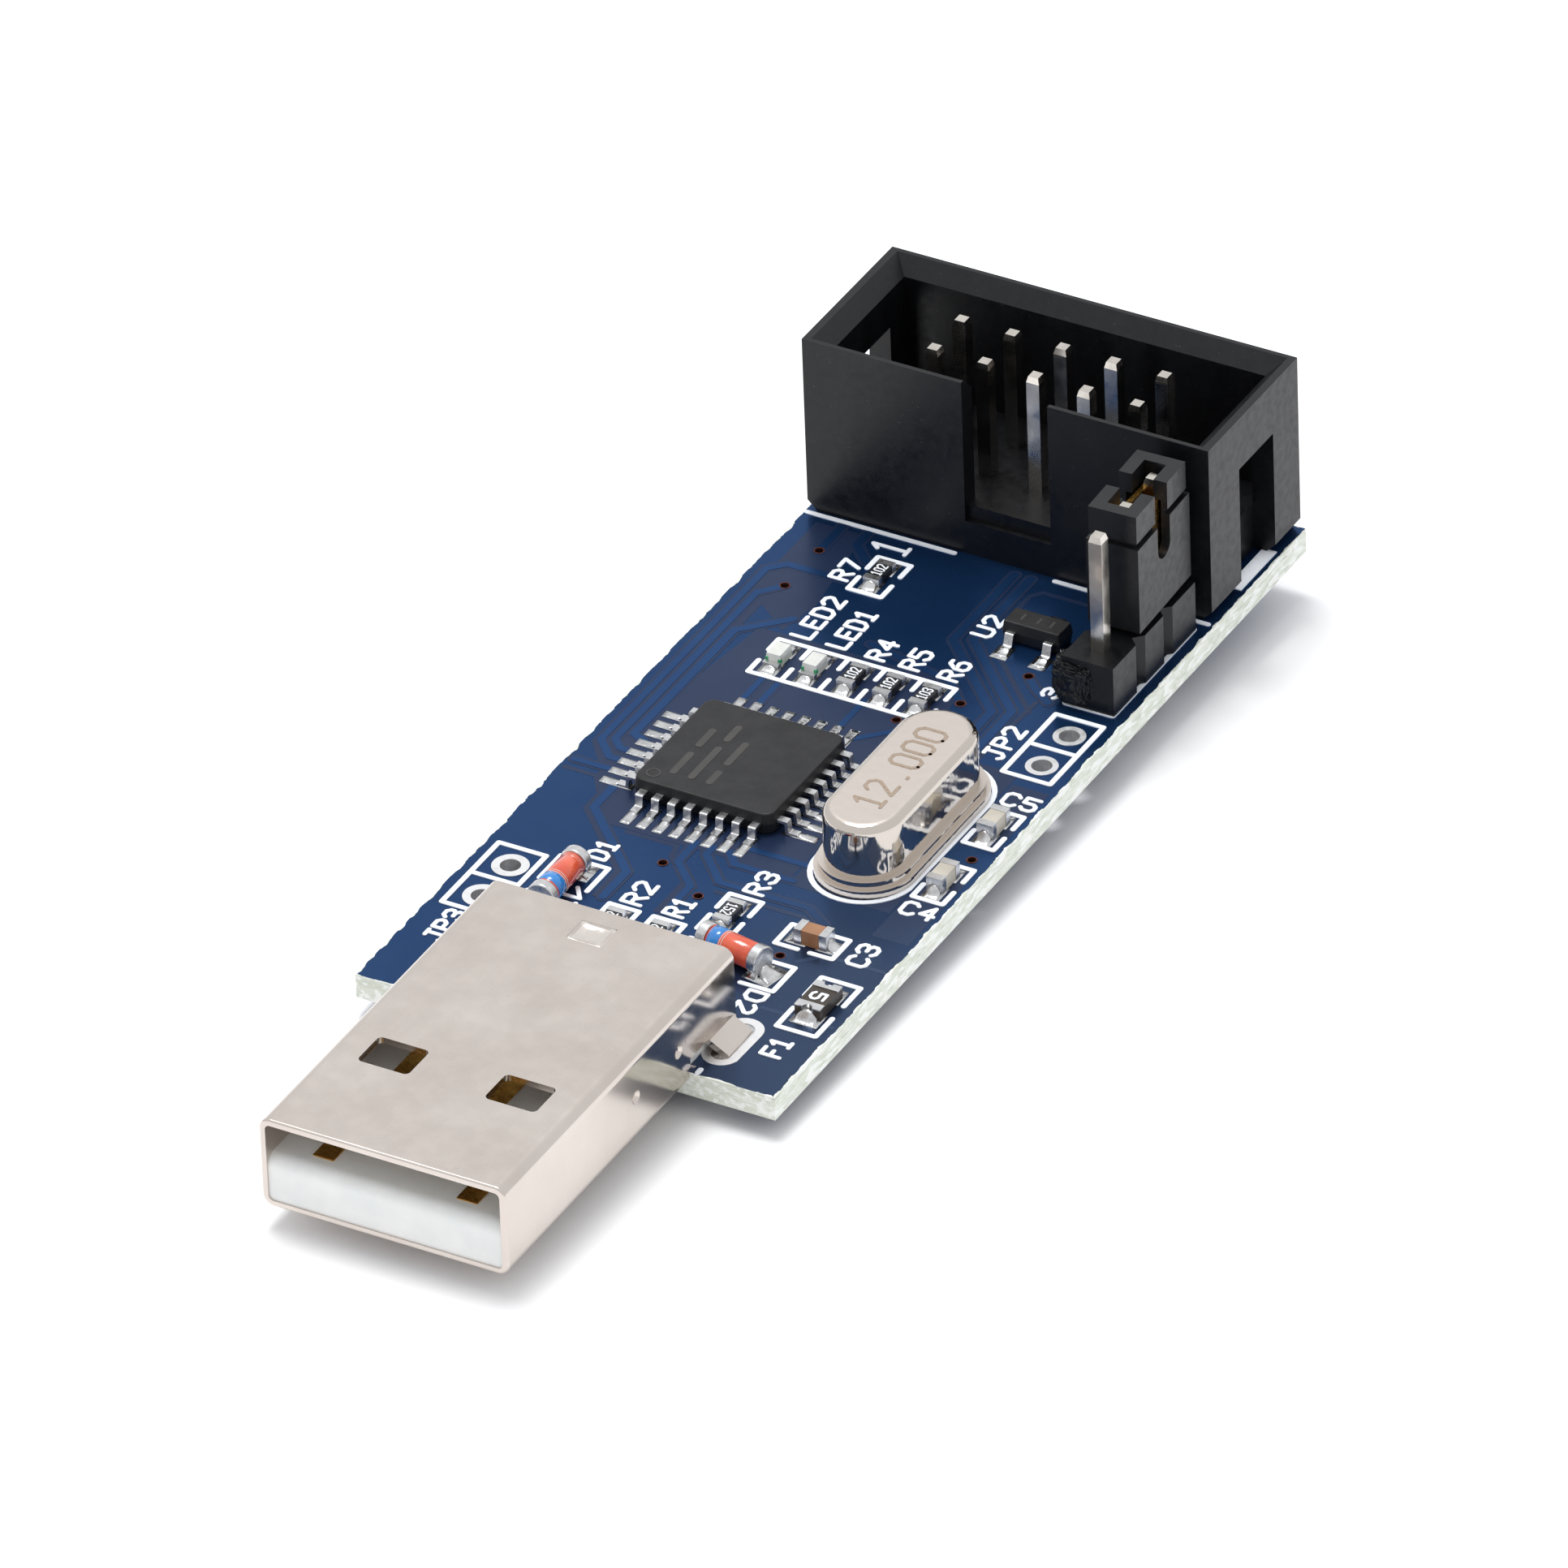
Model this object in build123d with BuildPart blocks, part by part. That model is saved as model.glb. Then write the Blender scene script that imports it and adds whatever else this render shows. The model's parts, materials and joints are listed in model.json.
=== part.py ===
"""USB microcontroller programmer: a short board with a USB plug and a ribbon-cable header.

The frame: +Y runs along the board from the plug to the header, +X points to the jumper's side
and +Z up. The origin is at the middle of the footprint, level with the tips of the header's pins.
Places on the board are given as x from its centre line and y from its front edge.
"""
from build123d import *
from math import cos, radians, sqrt, tan
import os

os.makedirs("parts", exist_ok=True)

# ------------------------------------------------------------------ circuit board
board_width = 20.6
board_length = 48.55
board_thickness = 1.2
via_radius = 0.22
annular_ring = 0.32  # copper around a plated hole, under the board
solder_hollow = 0.36  # share of a solder cone's width and height where its side is most hollow
pin_tail = 1.8  # how far the header pins reach below the board

# ------------------------------------------------------------------ USB plug
plug_width = 12.0
plug_height = 4.5
plug_length = 19.75
plug_overhang = 15.7  # from the mouth to the board's front edge
plug_drop = 0.6  # the shell's underside lies this far below the board's top
plug_x = 0.2
sheet = 0.3  # shell metal
shell_bend = 0.55  # outside radius of the shell's four long edges
mouth_rounding = 0.12
board_gap = 0.1  # between the shell's floor and the board's edge

window_length = 1.95
window_corner = 0.25
window_width = 2.5
window_spacing = 6.2
window_setback = 6.45  # from the mouth to the windows' middle

boss_length = 1.2
boss_width = 1.4
boss_depth = 0.14
boss_taper = 20.0
boss_y = 2.35
dimple_radius = 0.32
dimple_depth = 0.14
dimple_taper = 45.0
dimple_ys = (-4.6, -0.9)
dimple_height = 1.65  # above the board's top

tab_length = 2.1
tab_y = 2.8
tab_reach = 0.95  # how far a side tab stands out from the shell
tab_height = 0.6  # top of the tab above the board, at the shell's wall
tab_slope = 30.0
tab_bend = 0.25
tab_tail = 0.7  # below the board
tab_solder_drop = 0.56
tab_solder_slope = 35.0
tab_ring = 0.3  # solder around the slot, under the board
arch_front = 0.05  # from the board's front edge to the arch in front of each tab
arch_height = 0.7
arch_corner = 0.5
slot_length = 2.9
slot_width = 1.0
slot_clearance = 0.08  # between a tab's leg and the outer side of its slot

tongue_height = 2.2
tongue_setback = 0.08
tongue_rounding = 0.6
block_length = 9.0  # solid rear of the insulator, which fills the shell
block_setback = 0.3
contact_width = 1.0
contact_thickness = 0.25
contact_proud = 0.06
outer_contact_x = 3.5
inner_contact_x = 1.0
outer_contact_setback = 1.0
inner_contact_setback = 2.25
contact_tail_width = 0.5
contact_tail_y = 2.65
contact_hole_radius = 0.46
contact_tail = 1.0
contact_fillet_radius = 0.42  # top of the solder cone
contact_fillet_height = 0.8

# ------------------------------------------------------------------ headers
pitch = 2.54
pin_width = 0.64
pin_hole_clearance = 0.05  # outside the pin's corners
pin_point = 0.3  # height of a pin's tapered end
pin_taper = 14.0
pin_fillet_clearance = 0.05  # top of the solder cone, outside the pin's corners
pin_fillet_height = 1.1

shroud_length = 20.32
shroud_depth = 8.35
shroud_height = 9.0
shroud_side_wall = 0.95
shroud_end_wall = 1.1
shroud_floor = 2.4
shroud_land = 0.22  # flat top of the wall, outside the lead-in bevel
shroud_x = -0.1
shroud_to_rear = 4.2  # header's middle to the board's rear edge
shroud_columns = 5
shroud_pin_height = 8.35
shroud_foot_chamfer = 0.5
key_width = 4.3
key_recess_height = 0.7
key_recess_depth = 0.3
end_notch_width = 3.2
end_notch_shift = 0.2  # towards the rear
end_notch_height = 6.4

jumper_inset = 1.85  # header's centre line to the board's right edge
jumper_y = 35.5
jumper_pins = 3
jumper_housing_height = 2.54
jumper_notch = 0.3  # depth of the notches between the housing's segments
jumper_pin_height = 8.5

shunt_height = 6.0
shunt_gap = 0.3  # between the shunt and the header's housing
shunt_cavity_side = 0.25  # between the contact and the cavity's long sides
shunt_cavity_end = 0.51  # between the pins and the cavity's ends
shunt_mouth_side = 0.205  # between the pins and the mouth's long sides
shunt_mouth_end = 0.26
shunt_turn = 2.0  # it sits slightly crooked on its pins
shunt_shift = -0.12
shunt_roof = 1.0
shunt_slot_width = 1.2  # the upright slot in each long side
shunt_slot_depth = 2.9
shunt_groove_height = 4.35  # top of the lower body
shunt_groove = 0.25
shunt_groove_wall = 0.15  # left between the groove and the cavity
shunt_top_inset = 0.1
shunt_contact_sheet = 0.25
shunt_contact_height = 4.4
pin_clearance = 0.03  # between a pin and the shunt's contact

# ------------------------------------------------------------------ parts on the board
moulding_draft = 0.14  # how much a package's sides lean in, per unit of height
mcu_x = -2.71
mcu_y = 20.42
mcu_body = 7.0
mcu_height = 1.0
mcu_standoff = 0.1
mcu_corner = 0.5
mcu_edge = 0.08  # rounding of the top edge
mcu_span = 9.0
mcu_pitch = 0.8
mcu_lead_width = 0.37
mcu_lead_thickness = 0.13
mcu_shoulder = 0.5  # flat run of the lead before it turns down
mcu_foot = 0.45
mcu_side_leads = 8
lead_crease = 0.6  # bend radius of a lead, as a share of its thickness
die_width = 3.2
die_height = 0.3
paddle_width = 4.2
paddle_height = 0.15
paddle_rise = 0.3  # above the package's underside

crystal_inset = 4.67  # crystal's middle to the board's right edge
crystal_y = 19.9
can_length = 10.1
can_width = 3.75
can_height = 3.4
can_wall = 0.25
can_rounding = 0.45
can_flange_length = 10.65
can_flange_width = 4.3
can_flange_height = 0.75
base_length = 11.05
base_width = 4.65
base_height = 0.4
lead_spacing = 4.88
lead_radius = 0.215
lead_hole_radius = 0.4
lead_rise = 0.9  # lead inside the can, above the base
lead_tail = 1.08  # below the board
lead_fillet_radius = 0.34  # top of the solder cone
lead_fillet_height = 0.8
seal_radius = 0.65
blank_thickness = 0.15
blank_height = 1.5
blank_margin = 0.5  # quartz beyond each lead

regulator_x = 3.9
regulator_y = 35.45
regulator_length = 2.9
regulator_width = 1.3
regulator_height = 1.0
regulator_standoff = 0.08
regulator_corner = 0.1
regulator_edge = 0.06
regulator_span = 2.5
regulator_lead_width = 0.42
regulator_lead_spacing = 1.9
regulator_shoulder = 0.22
regulator_foot = 0.2

chip_skin = 0.03  # how far an end terminal stands proud of its chip
chip_length = 1.6
chip_width = 0.8
resistor_height = 0.45
resistor_terminal = 0.32
capacitor_height = 0.8
capacitor_terminal = 0.36
led_base_height = 0.28
led_lens_height = 0.36
led_lens_length = 1.05
led_lens_taper = 5.0
led_terminal = 0.28

diode_length = 3.4
diode_radius = 0.68
diode_glass_radius = 0.62
diode_cap = 0.5
diode_cap_edge = 0.08

fuse_length = 2.0
fuse_width = 1.25
fuse_height = 0.65
fuse_terminal = 0.42
fuse_plating = 0.06
fuse_notch_radius = 0.28

spare_hole_radius = 0.5  # unused plated holes for two more jumpers
spare_right_inset = 1.64
spare_right_y = 28.27
spare_left_inset = 1.95
spare_left_y = 8.81

# ------------------------------------------------------------------ places worked out from the sizes
board_top = pin_tail + board_thickness
front_edge = (plug_overhang - board_length) / 2
right_edge = board_width / 2
left_edge = -right_edge
shroud_y = board_length - shroud_to_rear
jumper_x = right_edge - jumper_inset
pin_reach = pin_width / sqrt(2)  # from a pin's axis to its corner
pin_hole_radius = pin_reach + pin_hole_clearance
shunt_width = pitch
shunt_length = 2 * pitch
crystal_x = right_edge - crystal_inset

plug_mouth = front_edge - plug_overhang
plug_rear = plug_mouth + plug_length
plug_floor = board_top - plug_drop
plug_roof = plug_floor + plug_height
plug_level = plug_floor + plug_height / 2
slot_spread = plug_width + 2 * (tab_reach + slot_clearance) - slot_width  # between the slots' middles

via_places = [
    (0.07, 11.68), (-2.53, 13.2), (5.41, 9.32), (left_edge + 2.12, 37.45), (left_edge + 2.1, 34.35),
    (4.85, 32.85), (3.18, 29.66), (1.28, 27.3), (right_edge - 0.94, 19.33),
]
resistor_places = {
    "r1": (-0.1, 8.05, 90), "r2": (-2.3, 8.05, 90), "r3": (2.05, 10.9, 90), "r4": (-1.9, 29.13, 90),
    "r5": (-0.1, 29.13, 90), "r6": (1.7, 29.13, 90), "r7": (-4.75, 36.75, 90),
}
capacitor_places = {
    "c3": (6.3, 10.8, 0), "c4": (right_edge - 1.18, 17.2, 90), "c5": (right_edge - 1.18, 21.75, 90),
}
diode_places = {"d1": (-5.5, 9.4, 90), "d2": (3.82, 8.15, -11)}
led_places = {"led_1": (-3.8, 29.13, 90), "led_2": (-5.6, 29.13, 90)}
fuse_place = (right_edge - 1.53, 6.7, 90)


near = 0.01  # for picking edges by their place


def seat(x, y, turn=0.0, height=board_top):
    """A plane on the board at x, y, turned about the vertical, with its origin at a height."""
    return Plane(Location((x, front_edge + y, height), (0, 0, turn)))


def save(piece, label):
    """Names a finished piece and writes it."""
    piece.part.label = label
    export_step(piece.part, f"parts/{label}.step")


# ------------------------------------------------------------------ circuit board
spare_hole_seats = [
    seat(right_edge - spare_right_inset, spare_right_y, height=pin_tail),
    seat(left_edge + spare_left_inset, spare_left_y, height=pin_tail),
]
with BuildPart() as circuit_board:
    with BuildSketch(seat(0, board_length / 2, height=pin_tail)):
        Rectangle(board_width, board_length)
    extrude(amount=board_thickness)
    with BuildSketch(seat(0, 0, height=pin_tail)):
        with Locations(*via_places):
            Circle(via_radius)
    extrude(amount=board_thickness, mode=Mode.SUBTRACT)
    with BuildSketch(seat(shroud_x, shroud_y, height=pin_tail)):
        with GridLocations(pitch, pitch, shroud_columns, 2):
            Circle(pin_hole_radius)
    extrude(amount=board_thickness, mode=Mode.SUBTRACT)
    with BuildSketch(seat(jumper_x, jumper_y, height=pin_tail)):
        with GridLocations(pitch, pitch, 1, jumper_pins):
            Circle(pin_hole_radius)
    extrude(amount=board_thickness, mode=Mode.SUBTRACT)
    with BuildSketch(*spare_hole_seats):
        with GridLocations(pitch, pitch, 1, 2):
            Circle(spare_hole_radius)
    extrude(amount=board_thickness, mode=Mode.SUBTRACT)
    with BuildSketch(seat(plug_x, tab_y, height=pin_tail)):
        with GridLocations(slot_spread, 1, 2, 1):
            SlotOverall(slot_length, slot_width, rotation=90)
    extrude(amount=board_thickness, mode=Mode.SUBTRACT)
    with BuildSketch(seat(plug_x, contact_tail_y, height=pin_tail)):
        for spread in (outer_contact_x, inner_contact_x):
            with GridLocations(2 * spread, 1, 2, 1):
                Circle(contact_hole_radius)
    extrude(amount=board_thickness, mode=Mode.SUBTRACT)
    with BuildSketch(seat(crystal_x, crystal_y, height=pin_tail)):
        with GridLocations(1, lead_spacing, 1, 2):
            Circle(lead_hole_radius)
    extrude(amount=board_thickness, mode=Mode.SUBTRACT)
save(circuit_board, "circuit_board")


# ------------------------------------------------------------------ USB plug: sheet-metal shell
def plug_section(inset, corner):
    """The shell's cross-section, drawn on a plane that faces the mouth."""
    with Locations((plug_x, plug_level)):
        RectangleRounded(plug_width - 2 * inset, plug_height - 2 * inset, corner)


def tab_outline(side):
    """A side tab from the front: it slopes out of the wall, then turns down through the board."""
    steep = tan(radians(tab_slope))
    upright = sheet / cos(radians(tab_slope))  # the sloping sheet, measured upright
    points = [
        (-sheet, tab_height + sheet * steep), (tab_reach, tab_height - tab_reach * steep),
        (tab_reach, -board_thickness - tab_tail), (tab_reach - sheet, -board_thickness - tab_tail),
        (tab_reach - sheet, tab_height - (tab_reach - sheet) * steep - upright),
        (-sheet, tab_height + sheet * steep - upright),
    ]
    Polyline(*[(plug_x + side * (plug_width / 2 + x), board_top + z) for x, z in points], close=True)


tab_front = front_edge + tab_y - tab_length / 2
with BuildPart() as usb_shell:
    with BuildSketch(Plane.XZ.offset(-plug_rear)):
        plug_section(0, shell_bend)
    extrude(amount=plug_length)
    fillet(usb_shell.faces().sort_by(Axis.Y)[0].edges(), radius=mouth_rounding)
    with BuildSketch(Plane.XZ.offset(-plug_rear)):
        plug_section(sheet, shell_bend - sheet)
    extrude(amount=plug_length, mode=Mode.SUBTRACT)
    # floor and corners are cut away where the shell sits on the board
    with BuildSketch(seat(plug_x, (plug_length - plug_overhang - board_gap) / 2)):
        Rectangle(plug_width, plug_length - plug_overhang + board_gap)
    extrude(amount=-plug_drop, mode=Mode.SUBTRACT)
    # windows that the socket's springs catch in, above and below
    with BuildSketch(seat(plug_x, window_setback - plug_overhang, height=plug_floor)):
        with GridLocations(window_spacing, 1, 2, 1):
            RectangleRounded(window_width, window_length, window_corner)
    extrude(amount=plug_height, mode=Mode.SUBTRACT)
    # arch in each side wall in front of its tab, and the opening that the tab was folded out of
    with BuildSketch(Plane.YZ.offset(plug_x - plug_width / 2)) as arch:
        with Locations((tab_front, board_top)):
            Rectangle(tab_front - front_edge - arch_front, arch_height, align=(Align.MAX, Align.MIN))
        fillet(arch.vertices().group_by(Axis.Z)[-1].sort_by(Axis.Y)[0], radius=arch_corner)
        with Locations((tab_front, board_top)):
            Rectangle(tab_length, tab_height, align=(Align.MIN, Align.MIN))
    extrude(amount=plug_width, mode=Mode.SUBTRACT)
    for side in (-1, 1):
        with BuildSketch(Plane.XZ.offset(-(tab_front + tab_length))):
            with BuildLine():
                tab_outline(side)
            make_face()
        extrude(amount=tab_length)
    tab_level = board_top + tab_height - tab_reach * tan(radians(tab_slope))
    bends = usb_shell.edges().filter_by(Axis.Y)
    bends = bends.filter_by_position(Axis.Z, tab_level - near, tab_level + near)
    fillet(ShapeList([bends.sort_by(Axis.X)[0], bends.sort_by(Axis.X)[-1]]), radius=tab_bend)
    # pressed boss on the roof and two stop dimples in each side wall
    with BuildSketch(seat(plug_x, boss_y, height=plug_roof)):
        Rectangle(boss_width, boss_length)
    extrude(amount=-boss_depth, taper=boss_taper, mode=Mode.SUBTRACT)
    for side in (-1, 1):
        wall = Plane(
            origin=(plug_x + side * plug_width / 2, front_edge, board_top + dimple_height),
            x_dir=(0, 1, 0), z_dir=(side, 0, 0),
        )
        with BuildSketch(wall):
            with Locations(*[(y, 0) for y in dimple_ys]):
                Circle(dimple_radius)
        extrude(amount=-dimple_depth, taper=dimple_taper, mode=Mode.SUBTRACT)
save(usb_shell, "usb_shell")

# ------------------------------------------------------------------ USB plug: contacts
tongue_top = plug_floor + sheet + tongue_height
contact_top = tongue_top + contact_proud
tail_rear = front_edge + contact_tail_y + contact_thickness / 2


def contact_outline(setback):
    """A contact from the side: a flat strip with its tail turned down through the board."""
    tip = plug_mouth + setback
    low = pin_tail - contact_tail
    underside = contact_top - contact_thickness
    tail_front = tail_rear - contact_thickness
    Polyline(
        (tip, contact_top), (tail_rear, contact_top), (tail_rear, low), (tail_front, low),
        (tail_front, underside), (tip, underside), close=True,
    )


contact_rows = [
    (sign * spread, setback)
    for spread, setback in (
        (inner_contact_x, inner_contact_setback), (outer_contact_x, outer_contact_setback)
    )
    for sign in (-1, 1)
]
with BuildPart() as usb_contacts:
    for x, setback in contact_rows:
        with BuildSketch(Plane.YZ.offset(plug_x + x)):
            with BuildLine():
                contact_outline(setback)
            make_face()
        extrude(amount=contact_width / 2, both=True)
    # the tails are narrower than the strips
    for x, setback in contact_rows:
        for side in (-1, 1):
            shoulder = x + side * (contact_width + contact_tail_width) / 4
            with BuildSketch(seat(plug_x + shoulder, contact_tail_y, height=board_top)):
                Rectangle((contact_width - contact_tail_width) / 2, 2 * contact_thickness)
            extrude(amount=-(board_thickness + contact_tail), mode=Mode.SUBTRACT)
save(usb_contacts, "usb_contacts")

# ------------------------------------------------------------------ USB plug: insulator
cavity_bend = shell_bend - sheet
block_rear = plug_length - plug_overhang - block_setback
with BuildPart() as usb_insulator:
    with BuildSketch(Plane.XZ.offset(-(front_edge + block_rear))):
        plug_section(sheet, cavity_bend)
    extrude(amount=block_length)
    # tongue, in the lower part of the mouth
    with BuildSketch(Plane.XZ.offset(-(front_edge + block_rear))):
        plug_section(sheet, cavity_bend)
        with Locations((plug_x, tongue_top)):
            Rectangle(plug_width, plug_height, align=(Align.CENTER, Align.MIN), mode=Mode.SUBTRACT)
    extrude(amount=block_rear + plug_overhang - tongue_setback)
    nose = usb_insulator.faces().sort_by(Axis.Y)[0]
    fillet(nose.edges().filter_by(Axis.X).sort_by(Axis.Z)[-1], radius=tongue_rounding)
    # cleared to stand on the board behind the board's front edge
    with BuildSketch(seat(plug_x, (block_rear - board_gap) / 2)):
        Rectangle(plug_width, block_rear + board_gap)
    extrude(amount=-plug_drop, mode=Mode.SUBTRACT)
    add(usb_contacts.part, mode=Mode.SUBTRACT)
    # the plastic follows the boss and the dimples pressed into the shell
    with BuildSketch(seat(plug_x, boss_y, height=plug_roof)):
        Rectangle(boss_width + 2 * sheet, boss_length + 2 * sheet)
    extrude(amount=-(sheet + boss_depth), mode=Mode.SUBTRACT)
save(usb_insulator, "usb_insulator")


# ------------------------------------------------------------------ solder
def solder_joint(hole_radius, tip_radius, rise):
    """Solder round a lead: a plug in the board's hole and a hollow-sided cone below it."""
    pad_radius = hole_radius + annular_ring
    with BuildPart() as joint:
        with BuildSketch(Plane.XZ):
            with BuildLine():
                Line((0, 0), (hole_radius, 0))
                Line((hole_radius, 0), (hole_radius, -board_thickness))
                Line((hole_radius, -board_thickness), (pad_radius, -board_thickness))
                ThreePointArc(
                    (pad_radius, -board_thickness),
                    (
                        tip_radius + (pad_radius - tip_radius) * solder_hollow,
                        -board_thickness - rise * solder_hollow,
                    ),
                    (tip_radius, -board_thickness - rise),
                )
                Line((tip_radius, -board_thickness - rise), (0, -board_thickness - rise))
                Line((0, -board_thickness - rise), (0, 0))
            make_face()
        revolve(axis=Axis.Z)
    return joint.part


def square_pins(place, columns, rows, height):
    """Square pins in a grid, from below the board up to a height above it, with tapered ends."""
    with BuildPart() as pins:
        with BuildSketch(place.offset(-board_thickness - pin_tail + pin_point)):
            with GridLocations(pitch, pitch, columns, rows):
                Rectangle(pin_width, pin_width)
        extrude(amount=board_thickness + pin_tail + height - 2 * pin_point)
        faces = pins.faces().sort_by(Axis.Z)
        for ends in (faces[: columns * rows], faces[-columns * rows:]):
            extrude(ends, amount=pin_point, taper=pin_taper)
    return pins


def pin_solder(place, columns, rows, pins):
    """The solder joints of a grid of square pins."""
    with BuildPart() as solder:
        with Locations(place):
            with GridLocations(pitch, pitch, columns, rows):
                add(solder_joint(pin_hole_radius, pin_reach + pin_fillet_clearance, pin_fillet_height))
        add(pins.part, mode=Mode.SUBTRACT)
    return solder


# ------------------------------------------------------------------ box header
shroud_seat = seat(shroud_x, shroud_y)
isp_header_pins = square_pins(shroud_seat, shroud_columns, 2, shroud_pin_height)
save(isp_header_pins, "isp_header_pins")
isp_header_solder = pin_solder(shroud_seat, shroud_columns, 2, isp_header_pins)
save(isp_header_solder, "isp_header_solder")

side_bevel = shroud_side_wall - shroud_land
with BuildPart() as isp_header_housing:
    with BuildSketch(shroud_seat):
        Rectangle(shroud_length, shroud_depth)
    extrude(amount=shroud_height)
    foot = isp_header_housing.faces().sort_by(Axis.Z)[0]
    chamfer(foot.edges().filter_by(Axis.Y), length=shroud_foot_chamfer)
    with BuildSketch(shroud_seat.offset(shroud_floor)):
        Rectangle(shroud_length - 2 * shroud_end_wall, shroud_depth - 2 * shroud_side_wall)
    extrude(amount=shroud_height, mode=Mode.SUBTRACT)
    rim = isp_header_housing.faces().sort_by(Axis.Z)[-1]
    chamfer(rim.inner_wires()[0].edges(), length=side_bevel)
    # key slot in the front wall, with a shallow recess in the wall under it
    with BuildSketch(shroud_seat.offset(shroud_floor)):
        with Locations((0, -shroud_depth / 2)):
            Rectangle(key_width, 2 * shroud_side_wall)
    extrude(amount=shroud_height, mode=Mode.SUBTRACT)
    with BuildSketch(shroud_seat.offset(shroud_floor)):
        with Locations((0, -shroud_depth / 2)):
            Rectangle(key_width, 2 * key_recess_depth)
    extrude(amount=-key_recess_height, mode=Mode.SUBTRACT)
    # latch notches, open at the bottom, in both end walls
    with BuildSketch(seat(shroud_x, shroud_y + end_notch_shift)):
        with GridLocations(shroud_length - shroud_end_wall, 1, 2, 1):
            Rectangle(shroud_end_wall, end_notch_width)
    extrude(amount=end_notch_height, mode=Mode.SUBTRACT)
    add(isp_header_pins.part, mode=Mode.SUBTRACT)
save(isp_header_housing, "isp_header_housing")

# ------------------------------------------------------------------ jumper header
jumper_seat = seat(jumper_x, jumper_y)
jumper_header_pins = square_pins(jumper_seat, 1, jumper_pins, jumper_pin_height)
save(jumper_header_pins, "jumper_header_pins")
jumper_header_solder = pin_solder(jumper_seat, 1, jumper_pins, jumper_header_pins)
save(jumper_header_solder, "jumper_header_solder")

with BuildPart() as jumper_header_housing:
    with BuildSketch(jumper_seat):
        Rectangle(pitch, pitch * jumper_pins)
        with GridLocations(pitch, pitch, 2, jumper_pins - 1):
            Rectangle(2 * jumper_notch, 2 * jumper_notch, rotation=45, mode=Mode.SUBTRACT)
    extrude(amount=jumper_housing_height)
    add(jumper_header_pins.part, mode=Mode.SUBTRACT)
save(jumper_header_housing, "jumper_header_housing")

# ------------------------------------------------------------------ jumper shunt, on the two rear pins
shunt_base = jumper_housing_height + shunt_gap
shunt_y = jumper_y + pitch / 2
contact_seat = seat(jumper_x, shunt_y, height=board_top + shunt_base)
shunt_seat = seat(jumper_x + shunt_shift, shunt_y, shunt_turn, height=board_top + shunt_base)
shunt_shoulder = shunt_height - shunt_roof
grip = pin_width + 2 * pin_clearance
shunt_cavity_width = grip + 2 * (shunt_contact_sheet + shunt_cavity_side)
shunt_groove_depth = (shunt_width - shunt_cavity_width) / 2 - shunt_groove_wall
with BuildPart() as jumper_shunt_housing:
    with BuildSketch(shunt_seat):
        Rectangle(shunt_width, shunt_length)
    extrude(amount=shunt_height)
    # the two end blocks are a little smaller than the body, with a groove under them
    with BuildSketch(shunt_seat.offset(shunt_groove_height)):
        Rectangle(shunt_width, shunt_length)
        Rectangle(shunt_width - 2 * shunt_top_inset, shunt_length - 2 * shunt_top_inset, mode=Mode.SUBTRACT)
    extrude(amount=shunt_height, mode=Mode.SUBTRACT)
    with BuildSketch(shunt_seat.offset(shunt_groove_height)):
        Rectangle(shunt_width, shunt_length)
        Rectangle(
            shunt_width - 2 * shunt_groove_depth, shunt_length - 2 * shunt_groove_depth, mode=Mode.SUBTRACT
        )
    extrude(amount=shunt_groove, mode=Mode.SUBTRACT)
    # cavity for the contact, and the smaller mouth above it
    with BuildSketch(shunt_seat):
        Rectangle(shunt_cavity_width, pitch + pin_width + 2 * shunt_cavity_end)
    extrude(amount=shunt_shoulder, mode=Mode.SUBTRACT)
    with BuildSketch(shunt_seat.offset(shunt_shoulder)):
        Rectangle(pin_width + 2 * shunt_mouth_side, pitch + pin_width + 2 * shunt_mouth_end)
    extrude(amount=shunt_roof, mode=Mode.SUBTRACT)
    # upright slot with a round foot in each long side
    slot_foot = shunt_height - shunt_slot_depth
    side_wall = Plane(
        origin=shunt_seat.from_local_coords((0, 0, slot_foot)),
        x_dir=shunt_seat.y_dir,
        z_dir=shunt_seat.x_dir,
    )
    with BuildSketch(side_wall):
        Circle(shunt_slot_width / 2)
        Rectangle(shunt_slot_width, shunt_slot_depth, align=(Align.CENTER, Align.MIN))
    extrude(amount=shunt_width, both=True, mode=Mode.SUBTRACT)
save(jumper_shunt_housing, "jumper_shunt_housing")

with BuildPart() as jumper_shunt_contact:
    with BuildSketch(contact_seat.offset(shunt_shoulder - shunt_contact_height)):
        Rectangle(grip + 2 * shunt_contact_sheet, pitch + grip)
        Rectangle(grip, pitch + grip, mode=Mode.SUBTRACT)
    extrude(amount=shunt_contact_height)
    # a web ties the two springs together above the middle
    with BuildSketch(contact_seat.offset(shunt_shoulder - shunt_contact_height / 2)):
        Rectangle(grip, pitch - grip - 2 * shunt_contact_sheet)
    extrude(amount=shunt_contact_sheet)
save(jumper_shunt_contact, "jumper_shunt_contact")


# ------------------------------------------------------------------ microcontroller
def gull_wing(start, end, shoulder, foot, height, thickness, width):
    """A lead pointing along +X, from inside the body at a height down to its foot at zero."""
    with BuildPart() as lead:
        with BuildSketch(Plane.XZ):
            with BuildLine():
                Polyline(
                    (start, height), (start + shoulder, height), (end - foot, thickness), (end, thickness),
                    (end, 0), (end - foot - thickness, 0), (start + shoulder - thickness, height - thickness),
                    (start, height - thickness), close=True,
                )
            make_face()
        extrude(amount=width / 2, both=True)
        crease = lead.edges().filter_by(Axis.Y).sort_by(Axis.Z)
        fillet(crease.filter_by_position(Axis.X, start + 0.01, end - 0.01), radius=thickness * lead_crease)
    return lead.part


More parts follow.
